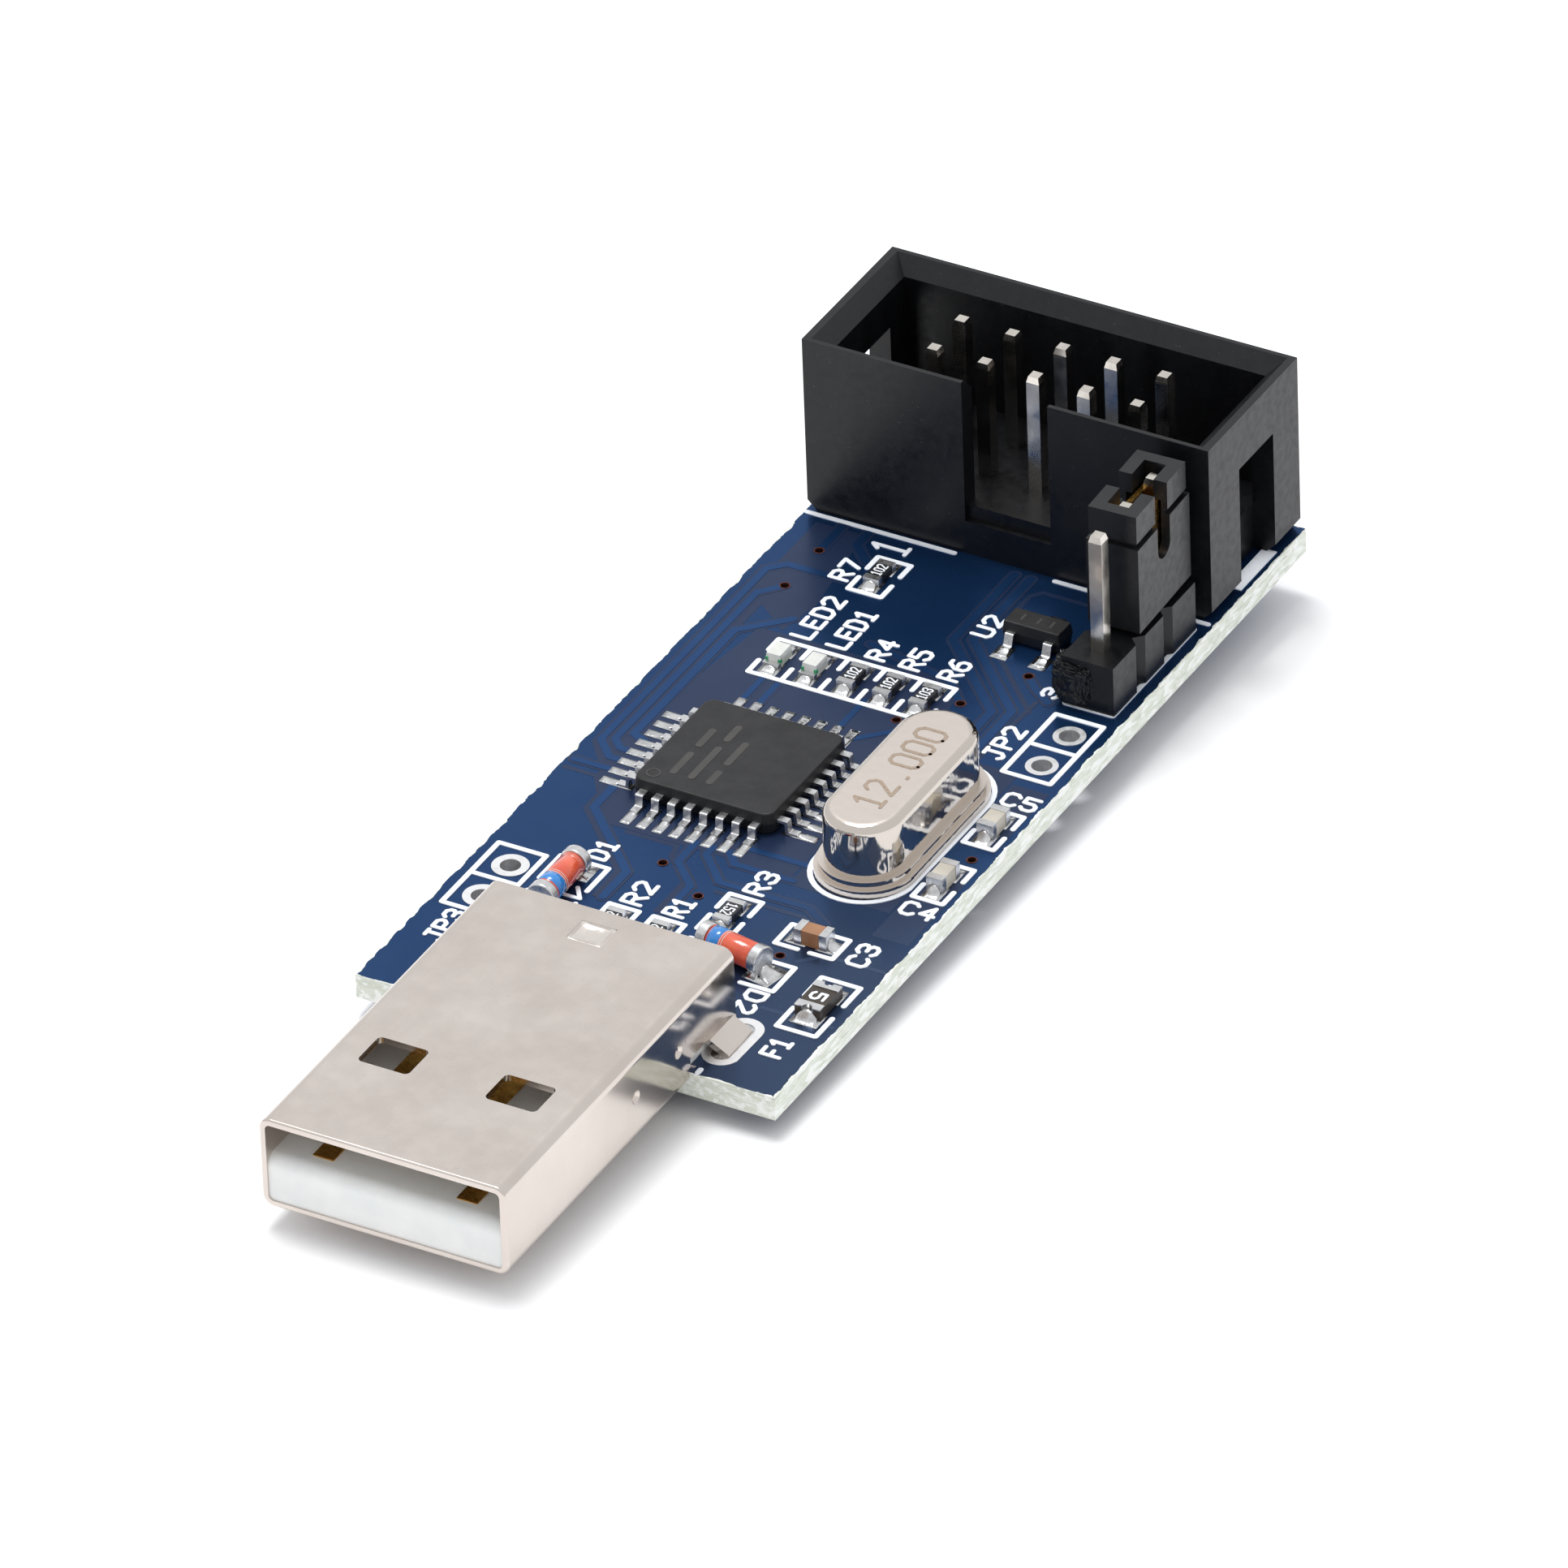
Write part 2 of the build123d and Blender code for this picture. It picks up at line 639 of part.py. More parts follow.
def moulded_block(place, length, width, height, corner):
    """A moulded package: widest at mid height, where the mould parts, with drafted sides."""
    draft = height / 2 * moulding_draft
    with BuildPart() as block:
        for end in (0, height):
            with BuildSketch(place.offset(height / 2)):
                RectangleRounded(length, width, corner)
            with BuildSketch(place.offset(end)):
                RectangleRounded(length - 2 * draft, width - 2 * draft, corner)
            loft()
    return block.part


mcu_seat = seat(mcu_x, mcu_y)
mcu_half = mcu_body / 2
mcu_waist = mcu_standoff + mcu_height / 2 + mcu_lead_thickness / 2
mcu_lead = gull_wing(
    mcu_half, mcu_span / 2, mcu_shoulder, mcu_foot, mcu_waist, mcu_lead_thickness, mcu_lead_width
)
with BuildPart() as microcontroller_leads:
    with Locations(mcu_seat):
        with PolarLocations(0, 4):
            with GridLocations(1, mcu_pitch, 1, mcu_side_leads):
                add(mcu_lead)
save(microcontroller_leads, "microcontroller_leads")

paddle_level = mcu_standoff + paddle_rise
with BuildPart() as microcontroller_die_paddle:
    with BuildSketch(mcu_seat.offset(paddle_level)):
        Rectangle(paddle_width, paddle_width)
    extrude(amount=paddle_height)
save(microcontroller_die_paddle, "microcontroller_die_paddle")

with BuildPart() as microcontroller_die:
    with BuildSketch(mcu_seat.offset(paddle_level + paddle_height)):
        Rectangle(die_width, die_width)
    extrude(amount=die_height)
save(microcontroller_die, "microcontroller_die")

with BuildPart() as microcontroller_package:
    add(moulded_block(mcu_seat.offset(mcu_standoff), mcu_body, mcu_body, mcu_height, mcu_corner))
    fillet(microcontroller_package.faces().sort_by(Axis.Z)[-1].edges(), radius=mcu_edge)
    add(microcontroller_die.part, mode=Mode.SUBTRACT)
    add(microcontroller_die_paddle.part, mode=Mode.SUBTRACT)
save(microcontroller_package, "microcontroller_package")

# ------------------------------------------------------------------ crystal
crystal_seat = seat(crystal_x, crystal_y)
can_level = base_height
cavity_height = can_height - can_wall
lead_top = base_height + lead_rise
with BuildPart() as crystal_leads:
    with BuildSketch(crystal_seat.offset(lead_top)):
        with GridLocations(1, lead_spacing, 1, 2):
            Circle(lead_radius)
    extrude(amount=-(lead_top + board_thickness + lead_tail))
save(crystal_leads, "crystal_leads")

with BuildPart() as crystal_glass_seals:
    with BuildSketch(crystal_seat):
        with GridLocations(1, lead_spacing, 1, 2):
            Circle(seal_radius)
            Circle(lead_radius, mode=Mode.SUBTRACT)
    extrude(amount=base_height)
save(crystal_glass_seals, "crystal_glass_seals")

with BuildPart() as crystal_base:
    with BuildSketch(crystal_seat):
        SlotOverall(base_length, base_width, rotation=90)
        with GridLocations(1, lead_spacing, 1, 2):
            Circle(seal_radius, mode=Mode.SUBTRACT)
    extrude(amount=base_height)
save(crystal_base, "crystal_base")

with BuildPart() as crystal_can:
    with BuildSketch(crystal_seat.offset(can_level)):
        SlotOverall(can_flange_length, can_flange_width, rotation=90)
    extrude(amount=can_flange_height - can_level)
    with BuildSketch(crystal_seat.offset(can_level)):
        SlotOverall(can_length, can_width, rotation=90)
    extrude(amount=can_height - can_level)
    fillet(crystal_can.faces().sort_by(Axis.Z)[-1].edges(), radius=can_rounding)
    with BuildSketch(crystal_seat.offset(can_level)):
        SlotOverall(can_length - 2 * can_wall, can_width - 2 * can_wall, rotation=90)
    extrude(amount=cavity_height - can_level, mode=Mode.SUBTRACT)
save(crystal_can, "crystal_can")

with BuildPart() as crystal_quartz_blank:
    with BuildSketch(crystal_seat.offset(lead_top)):
        Rectangle(blank_thickness, lead_spacing + 2 * (lead_radius + blank_margin))
    extrude(amount=blank_height)
save(crystal_quartz_blank, "crystal_quartz_blank")

with BuildPart() as crystal_solder:
    with Locations(crystal_seat):
        with GridLocations(1, lead_spacing, 1, 2):
            add(solder_joint(lead_hole_radius, lead_fillet_radius, lead_fillet_height))
    add(crystal_leads.part, mode=Mode.SUBTRACT)
save(crystal_solder, "crystal_solder")

# ------------------------------------------------------------------ solder of the plug
with BuildPart() as usb_contact_solder:
    for x, setback in contact_rows:
        with Locations(seat(plug_x + x, contact_tail_y)):
            add(solder_joint(contact_hole_radius, contact_fillet_radius, contact_fillet_height))
    add(usb_contacts.part, mode=Mode.SUBTRACT)
save(usb_contact_solder, "usb_contact_solder")

with BuildPart() as usb_tab_solder:
    with BuildSketch(seat(plug_x, tab_y, height=pin_tail)):
        with GridLocations(slot_spread, 1, 2, 1):
            SlotOverall(slot_length, slot_width, rotation=90)
    extrude(amount=board_thickness)
    with BuildSketch(seat(plug_x, tab_y, height=pin_tail)):
        with GridLocations(slot_spread, 1, 2, 1):
            SlotOverall(slot_length + 2 * tab_ring, slot_width + 2 * tab_ring, rotation=90)
    extrude(amount=-tab_solder_drop, taper=tab_solder_slope)
    add(usb_shell.part, mode=Mode.SUBTRACT)
save(usb_tab_solder, "usb_tab_solder")

# ------------------------------------------------------------------ three-legged regulator
regulator_seat = seat(regulator_x, regulator_y)
regulator_waist = regulator_standoff + regulator_height / 2 + mcu_lead_thickness / 2
regulator_lead = gull_wing(
    regulator_width / 2, regulator_span / 2, regulator_shoulder, regulator_foot, regulator_waist,
    mcu_lead_thickness, regulator_lead_width,
)
with BuildPart() as regulator_leads:
    for x, turn in ((-regulator_lead_spacing / 2, -90), (regulator_lead_spacing / 2, -90), (0, 90)):
        with Locations(seat(regulator_x + x, regulator_y, turn)):
            add(regulator_lead)
save(regulator_leads, "regulator_leads")

with BuildPart() as regulator_package:
    place = regulator_seat.offset(regulator_standoff)
    add(moulded_block(place, regulator_length, regulator_width, regulator_height, regulator_corner))
    fillet(regulator_package.faces().sort_by(Axis.Z)[-1].edges(), radius=regulator_edge)
save(regulator_package, "regulator_package")


# ------------------------------------------------------------------ chip parts: a body and two end caps
def chip_body(place, height, level=0.0):
    """A chip's body, inside the skin of its terminals."""
    with BuildPart() as body:
        with BuildSketch(place.offset(level + chip_skin)):
            Rectangle(chip_length - 2 * chip_skin, chip_width - 2 * chip_skin)
        extrude(amount=height - 2 * chip_skin)
    return body


def chip_terminals(place, height, terminal, body):
    """Two metal caps that wrap the ends of a chip's body."""
    with BuildPart() as terminals:
        with BuildSketch(place):
            with GridLocations(chip_length - terminal, 1, 2, 1):
                Rectangle(terminal, chip_width)
        extrude(amount=height)
        add(body.part, mode=Mode.SUBTRACT)
    return terminals


for name, spot in resistor_places.items():
    body = chip_body(seat(*spot), resistor_height)
    caps = chip_terminals(seat(*spot), resistor_height, resistor_terminal, body)
    save(body, f"resistor_{name}_body")
    save(caps, f"resistor_{name}_terminals")

for name, spot in capacitor_places.items():
    body = chip_body(seat(*spot), capacitor_height)
    caps = chip_terminals(seat(*spot), capacitor_height, capacitor_terminal, body)
    save(body, f"capacitor_{name}_body")
    save(caps, f"capacitor_{name}_terminals")

for name, spot in led_places.items():
    base = chip_body(seat(*spot), led_base_height)
    save(base, f"{name}_base")
    save(chip_terminals(seat(*spot), led_base_height, led_terminal, base), f"{name}_terminals")
    with BuildPart() as lens:
        with BuildSketch(seat(*spot).offset(led_base_height - chip_skin)):
            Rectangle(led_lens_length, chip_width - 2 * chip_skin)
        extrude(amount=led_lens_height, taper=led_lens_taper)
    save(lens, f"{name}_lens")

# ------------------------------------------------------------------ glass diodes
for name, spot in diode_places.items():
    axis_plane = Plane(seat(*spot).offset(diode_radius).location * Location((0, 0, 0), (0, 90, 0)))
    with BuildPart() as glass:
        with BuildSketch(axis_plane.offset(diode_cap - diode_length / 2)):
            Circle(diode_glass_radius)
        extrude(amount=diode_length - 2 * diode_cap)
    save(glass, f"diode_{name}_glass")
    with BuildPart() as caps:
        for start in (-diode_length / 2, diode_length / 2 - diode_cap):
            with BuildSketch(axis_plane.offset(start)):
                Circle(diode_radius)
            extrude(amount=diode_cap)
        fillet(caps.edges().filter_by(GeomType.CIRCLE), radius=diode_cap_edge)
    save(caps, f"diode_{name}_caps")

# ------------------------------------------------------------------ resettable fuse
fuse_seat = seat(*fuse_place)
with BuildPart() as fuse_body:
    with BuildSketch(fuse_seat.offset(fuse_plating)):
        Rectangle(fuse_length, fuse_width)
        with GridLocations(fuse_length, 1, 2, 1):
            Circle(fuse_notch_radius, mode=Mode.SUBTRACT)
    extrude(amount=fuse_height - 2 * fuse_plating)
save(fuse_body, "fuse_body")

with BuildPart() as fuse_terminals:
    with BuildSketch(fuse_seat):
        with GridLocations(fuse_length - fuse_terminal, 1, 2, 1):
            Rectangle(fuse_terminal, fuse_width)
        with GridLocations(fuse_length, 1, 2, 1):
            Circle(fuse_notch_radius - fuse_plating, mode=Mode.SUBTRACT)
    extrude(amount=fuse_height)
    add(fuse_body.part, mode=Mode.SUBTRACT)
save(fuse_terminals, "fuse_terminals")
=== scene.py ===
"""Looks of a USB microcontroller programmer: finishes, printed board, solder and small detail.

Lengths on the board are in millimetres, as x from its centre line, y from its front edge and z from
its top face, and become metres in the CAD model's frame when a piece is made.
"""
import itertools
import json
import math

import bpy
import bmesh
from mathutils import Matrix, Vector, noise


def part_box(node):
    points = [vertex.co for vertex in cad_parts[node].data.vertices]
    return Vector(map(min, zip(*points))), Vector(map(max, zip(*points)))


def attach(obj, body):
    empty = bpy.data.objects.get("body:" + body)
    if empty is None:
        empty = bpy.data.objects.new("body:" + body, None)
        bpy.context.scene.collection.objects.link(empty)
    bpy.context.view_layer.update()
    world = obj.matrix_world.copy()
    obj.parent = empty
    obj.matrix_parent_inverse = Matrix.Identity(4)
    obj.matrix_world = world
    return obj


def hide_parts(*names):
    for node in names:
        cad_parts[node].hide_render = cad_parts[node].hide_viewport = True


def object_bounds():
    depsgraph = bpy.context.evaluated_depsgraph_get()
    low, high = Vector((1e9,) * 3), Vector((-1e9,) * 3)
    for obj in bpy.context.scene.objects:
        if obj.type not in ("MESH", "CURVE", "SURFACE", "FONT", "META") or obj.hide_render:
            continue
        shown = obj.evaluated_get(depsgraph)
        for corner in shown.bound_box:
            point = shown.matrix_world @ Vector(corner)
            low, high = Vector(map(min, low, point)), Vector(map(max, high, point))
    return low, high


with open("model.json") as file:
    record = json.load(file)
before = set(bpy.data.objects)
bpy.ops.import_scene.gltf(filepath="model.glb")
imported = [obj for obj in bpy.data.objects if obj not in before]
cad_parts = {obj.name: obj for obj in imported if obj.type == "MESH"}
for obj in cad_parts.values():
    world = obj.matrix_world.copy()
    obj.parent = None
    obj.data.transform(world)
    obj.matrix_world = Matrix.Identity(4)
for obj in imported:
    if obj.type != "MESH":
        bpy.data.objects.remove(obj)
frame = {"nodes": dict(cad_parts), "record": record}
cad_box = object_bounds()

MM = 0.001
BOARD_LOW, BOARD_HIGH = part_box("circuit_board")
ORIGIN = Vector((0.0, BOARD_LOW.y, BOARD_HIGH.z))
RIGHT = BOARD_HIGH.x / MM
LENGTH = (BOARD_HIGH.y - BOARD_LOW.y) / MM
THICKNESS = (BOARD_HIGH.z - BOARD_LOW.z) / MM
UNDERSIDE = -THICKNESS


def node_box(name):
    """A CAD node's lowest and highest corners, in board millimetres."""
    low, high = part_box(name)
    return (low - ORIGIN) / MM, (high - ORIGIN) / MM


def node_middle(name):
    """The middle of a CAD node's box, in board millimetres."""
    low, high = node_box(name)
    return (low + high) / 2


def to_frame(mesh):
    """Moves a mesh from board millimetres into the CAD model's frame."""
    mesh.transform(Matrix.Translation(ORIGIN) @ Matrix.Scale(MM, 4))


# ------------------------------------------------------------------ finishes
class Finish:
    """A material on the Principled shader, with short calls for the nodes that finishes share."""

    def __init__(self, name, roughness, metallic=0.0, **settings):
        self.material = bpy.data.materials.new(name)
        self.material.use_nodes = True
        self.tree = self.material.node_tree
        self.surface = self.tree.nodes["Principled BSDF"]
        self.surface.inputs["Roughness"].default_value = roughness
        self.surface.inputs["Metallic"].default_value = metallic
        for socket, value in settings.items():
            self.surface.inputs[socket.replace("_", " ")].default_value = value
        self.place = self.node("ShaderNodeTexCoord").outputs["Object"]

    def node(self, kind, **inputs):
        made = self.tree.nodes.new(kind)
        for socket, value in inputs.items():
            self.feed(made.inputs[socket.replace("_", " ")], value)
        return made

    def feed(self, socket, value):
        if isinstance(value, bpy.types.NodeSocket):
            self.tree.links.new(value, socket)
        else:
            socket.default_value = value

    def noise(self, size, detail=3.0, stretch=(1, 1, 1), distortion=0.0):
        """Noise whose blobs are about size millimetres across, longer where stretch is more than 1."""
        scale = [1 / (MM * size * s) for s in stretch]
        mapped = self.node("ShaderNodeMapping", Vector=self.place, Scale=scale)
        made = self.node(
            "ShaderNodeTexNoise", Vector=mapped.outputs[0], Scale=1.0, Detail=detail, Distortion=distortion
        )
        return made.outputs["Fac"]

    def maths(self, operation, *values):
        made = self.tree.nodes.new("ShaderNodeMath")
        made.operation = operation
        for socket, value in zip(made.inputs, values):
            self.feed(socket, value)
        return made.outputs[0]

    def span(self, value, low, high, to_low=0.0, to_high=1.0):
        """Value, taken from one range to another and held inside it."""
        made = self.node("ShaderNodeMapRange")
        for socket, given in zip(made.inputs, (value, low, high, to_low, to_high)):
            self.feed(socket, given)
        return made.outputs[0]

    def blend(self, amount, first, second):
        made = self.tree.nodes.new("ShaderNodeMix")
        made.data_type = "RGBA"
        self.feed(made.inputs["Factor"], amount)
        self.feed(made.inputs["A"], first)
        self.feed(made.inputs["B"], second)
        return made.outputs["Result"]

    def axis(self, index):
        """One coordinate of the surface point, in millimetres of the CAD frame."""
        split = self.node("ShaderNodeSeparateXYZ", Vector=self.place)
        return self.maths("DIVIDE", split.outputs[index], MM)

    def facing(self, index):
        """How squarely the surface faces along one axis, either way, from 0 to 1."""
        geometry = self.node("ShaderNodeNewGeometry")
        split = self.node("ShaderNodeSeparateXYZ", Vector=geometry.outputs["True Normal"])
        return self.maths("ABSOLUTE", split.outputs[index])

    def color(self, value):
        self.feed(self.surface.inputs["Base Color"], value)

    def rough(self, value):
        self.feed(self.surface.inputs["Roughness"], value)

    def bump(self, height, depth):
        """Relief about depth millimetres deep."""
        made = self.node("ShaderNodeBump", Height=height, Strength=1.0, Distance=depth * MM)
        self.feed(self.surface.inputs["Normal"], made.outputs[0])


def rgb(red, green, blue):
    """A colour given in display values from 0 to 255."""
    def linear(value):
        share = value / 255
        return share / 12.92 if share <= 0.04045 else ((share + 0.055) / 1.055) ** 2.4

    return (linear(red), linear(green), linear(blue), 1.0)


def plain_metal(name, light, dark, roughness, spots=0.3, relief=0.004):
    """Bright metal with clouding of its colour and gloss."""
    finish = Finish(name, roughness, metallic=1.0)
    cloud = finish.noise(spots, detail=4)
    finish.color(finish.blend(finish.span(cloud, 0.35, 0.65), light, dark))
    finish.rough(finish.span(cloud, 0.3, 0.7, roughness * 0.7, roughness * 1.5))
    finish.bump(finish.noise(spots * 0.6), relief)
    return finish.material


def plain_plastic(name, light, dark, roughness, grain=0.08, relief=0.004, **settings):
    """Moulded plastic with a fine grain and a slow drift of colour."""
    finish = Finish(name, roughness, **settings)
    drift = finish.noise(1.5, detail=4)
    finish.color(finish.blend(finish.span(drift, 0.35, 0.65), light, dark))
    finish.rough(finish.span(finish.noise(0.5), 0.3, 0.7, roughness * 0.85, roughness * 1.15))
    finish.bump(finish.noise(grain, detail=2), relief)
    return finish.material


MASK_SHEEN = 0.75  # how much the copper under the mask shines through it


def mask_tone(finish, light, dark):
    """The mask's colour: slightly cloudy, and greyer towards the front right corner."""
    tone = finish.blend(finish.span(finish.noise(5.0, detail=3), 0.3, 0.7), light, dark)
    front = ORIGIN.y / MM
    corner = finish.maths("MULTIPLY", finish.span(finish.axis(0), 1.0, 6.0),
                          finish.span(finish.axis(1), front + 17.0, front + 10.0))
    return finish.blend(corner, tone, rgb(50, 68, 98))


def board_finish():
    """Blue solder mask on both faces, with ragged pale fibreglass where the board was cut."""
    finish = Finish("solder_mask", 0.3, Specular_IOR_Level=0.3)
    mask = mask_tone(finish, rgb(24, 60, 106), rgb(32, 67, 112))
    speck = finish.span(finish.noise(0.09, detail=1), 0.74, 0.78)
    mask = finish.blend(finish.maths("MULTIPLY", speck, 0.25), mask, rgb(120, 140, 170))
    # the cut edge: layers of glass cloth, chalky chips and a few darker threads
    layers = finish.noise(0.14, detail=3, stretch=(6, 6, 1), distortion=0.6)
    fibre = finish.blend(finish.span(layers, 0.35, 0.65), rgb(231, 234, 226), rgb(208, 214, 200))
    chips = finish.span(finish.noise(0.35, detail=4, stretch=(1, 2.5, 0.7)), 0.5, 0.6)
    fibre = finish.blend(chips, fibre, rgb(242, 244, 241))
    dark = finish.span(finish.noise(0.5, detail=5, stretch=(1, 2.5, 0.4)), 0.62, 0.7)
    fibre = finish.blend(finish.maths("MULTIPLY", dark, 0.45), fibre, rgb(158, 166, 150))
    # the mask has broken away in a ragged line along the board's outline
    x, y = finish.axis(0), finish.axis(1)
    to_side = finish.maths("SUBTRACT", RIGHT, finish.maths("ABSOLUTE", x))
    to_front = finish.maths("SUBTRACT", y, ORIGIN.y / MM)
    to_rear = finish.maths("SUBTRACT", ORIGIN.y / MM + LENGTH, y)
    to_edge = finish.maths("MINIMUM", to_side, finish.maths("MINIMUM", to_front, to_rear))
    ragged = finish.span(finish.noise(0.8, detail=6), 0.42, 0.75, 0.01, 0.17)
    broken = finish.maths("LESS_THAN", to_edge, ragged)
    side = finish.maths("LESS_THAN", finish.facing(2), 0.5)
    bare = finish.maths("MAXIMUM", broken, side)
    finish.color(finish.blend(bare, mask, fibre))
    finish.rough(finish.span(bare, 0.0, 1.0, 0.26, 0.75))
    finish.feed(finish.surface.inputs["Metallic"], finish.span(bare, 0.0, 1.0, MASK_SHEEN, 0.0))
    wave = finish.maths("MULTIPLY", finish.noise(1.2, detail=1), 0.35)
    rags = finish.maths("MULTIPLY", finish.noise(0.12, detail=4), bare)
    finish.bump(finish.maths("ADD", wave, rags), 0.03)
    return finish.material


def mask_finish(name, light, dark, metallic):
    """Solder mask over a track or over bare laminate."""
    finish = Finish(name, 0.28, metallic=metallic, Specular_IOR_Level=0.3)
    finish.color(mask_tone(finish, light, dark))
    finish.bump(finish.noise(0.8, detail=1), 0.006)
    return finish.material


def legend_finish():
    """Screen-printed white ink, thin at its edges and a little grainy."""
    finish = Finish("legend_ink", 0.5)
    worn = finish.span(finish.noise(0.13, detail=4), 0.6, 0.75)
    finish.color(finish.blend(finish.maths("MULTIPLY", worn, 0.35), rgb(236, 240, 246), rgb(160, 176, 205)))
    finish.bump(finish.noise(0.07), 0.008)
    return finish.material


def shell_finish():
    """Nickel sheet: a warm satin top with specks, smears and faint scratches, and brighter drawn sides."""
    finish = Finish("nickel_shell", 0.3, metallic=1.0)
    cloud = finish.noise(4.0, detail=3)
    tone = finish.blend(finish.span(cloud, 0.3, 0.7), rgb(218, 209, 202), rgb(209, 199, 191))
    specks = finish.span(finish.noise(0.12, detail=3), 0.68, 0.76)
    tone = finish.blend(finish.maths("MULTIPLY", specks, 0.3), tone, rgb(150, 142, 134))
    finish.color(tone)
    brushed = finish.noise(0.05, detail=3, stretch=(1, 40, 40))
    smears = finish.span(finish.noise(0.9, detail=5), 0.35, 0.7, 0.22, 0.29)
    top = finish.span(finish.facing(2), 0.6, 0.95, 0.5, 1.0)
    brush_lines = finish.maths("MULTIPLY", brushed, 0.05)
    finish.rough(finish.maths("MULTIPLY", finish.maths("ADD", smears, brush_lines), top))
    dents = finish.maths("MULTIPLY", finish.noise(2.6, detail=1), 0.6)
    scratches = finish.span(finish.noise(0.06, detail=2, stretch=(18, 3, 18), distortion=0.4), 0.7, 0.76)
    relief = finish.maths("ADD", brush_lines, finish.maths("MULTIPLY", scratches, 0.06))
    finish.bump(finish.maths("ADD", relief, dents), 0.02)
    return finish.material


def can_finish():
    """The crystal's can: a satin stamped top and mirror-bright drawn sides."""
    finish = Finish("crystal_metal", 0.1, metallic=1.0)
    top = finish.span(finish.facing(2), 0.9, 0.99)
    grain = finish.noise(0.05, detail=2)
    finish.color(finish.blend(top, rgb(208, 200, 192), rgb(216, 207, 199)))
    drawn = finish.span(finish.noise(0.35, detail=3, stretch=(1, 1, 8)), 0.3, 0.7, 0.05, 0.13)
    satin = finish.span(grain, 0.3, 0.7, 0.3, 0.42)
    mixed = finish.node("ShaderNodeMix")
    for socket, value in zip(mixed.inputs[:1] + mixed.inputs[2:4], (top, drawn, satin)):
        finish.feed(socket, value)
    finish.rough(mixed.outputs[0])
    finish.bump(finish.noise(0.5, detail=1, stretch=(1, 1, 4)), 0.012)
    return finish.material


def header_finish(name, light, roughness):
    """Black moulded plastic with pale dust specks and faint flow marks."""
    finish = Finish(name, roughness, Specular_IOR_Level=0.35)
    flow = finish.noise(1.2, detail=4, stretch=(1, 1, 3))
    tone = finish.blend(finish.span(flow, 0.35, 0.65), rgb(*light), rgb(*[v * 0.72 for v in light]))
    dust = finish.span(finish.noise(0.1, detail=2), 0.72, 0.77)
    finish.color(finish.blend(finish.maths("MULTIPLY", dust, 0.35), tone, rgb(120, 122, 128)))
    finish.rough(finish.span(finish.noise(0.4, detail=3), 0.3, 0.7, roughness * 0.8, roughness * 1.2))
    finish.bump(finish.noise(0.06, detail=3), 0.003)
    return finish.material


def glass_finish(name, tint, roughness=0.04):
    """Clear glass with a faint tint and slight waves in its surface."""
    finish = Finish(name, roughness, Transmission_Weight=1.0, IOR=1.5)
    finish.color(finish.blend(finish.noise(0.6), tint, rgb(250, 250, 250)))
    finish.bump(finish.noise(0.4, detail=1), 0.006)
    return finish.material


def lens_finish():
    """Milky resin over a small lamp: whitish, with a hint of warm grey."""
    finish = Finish("led_lens", 0.16, IOR=1.5, Coat_Weight=0.5)
    finish.color(finish.blend(finish.noise(0.3), rgb(226, 226, 222), rgb(200, 203, 198)))
    finish.bump(finish.noise(0.3, detail=2), 0.01)
    return finish.material


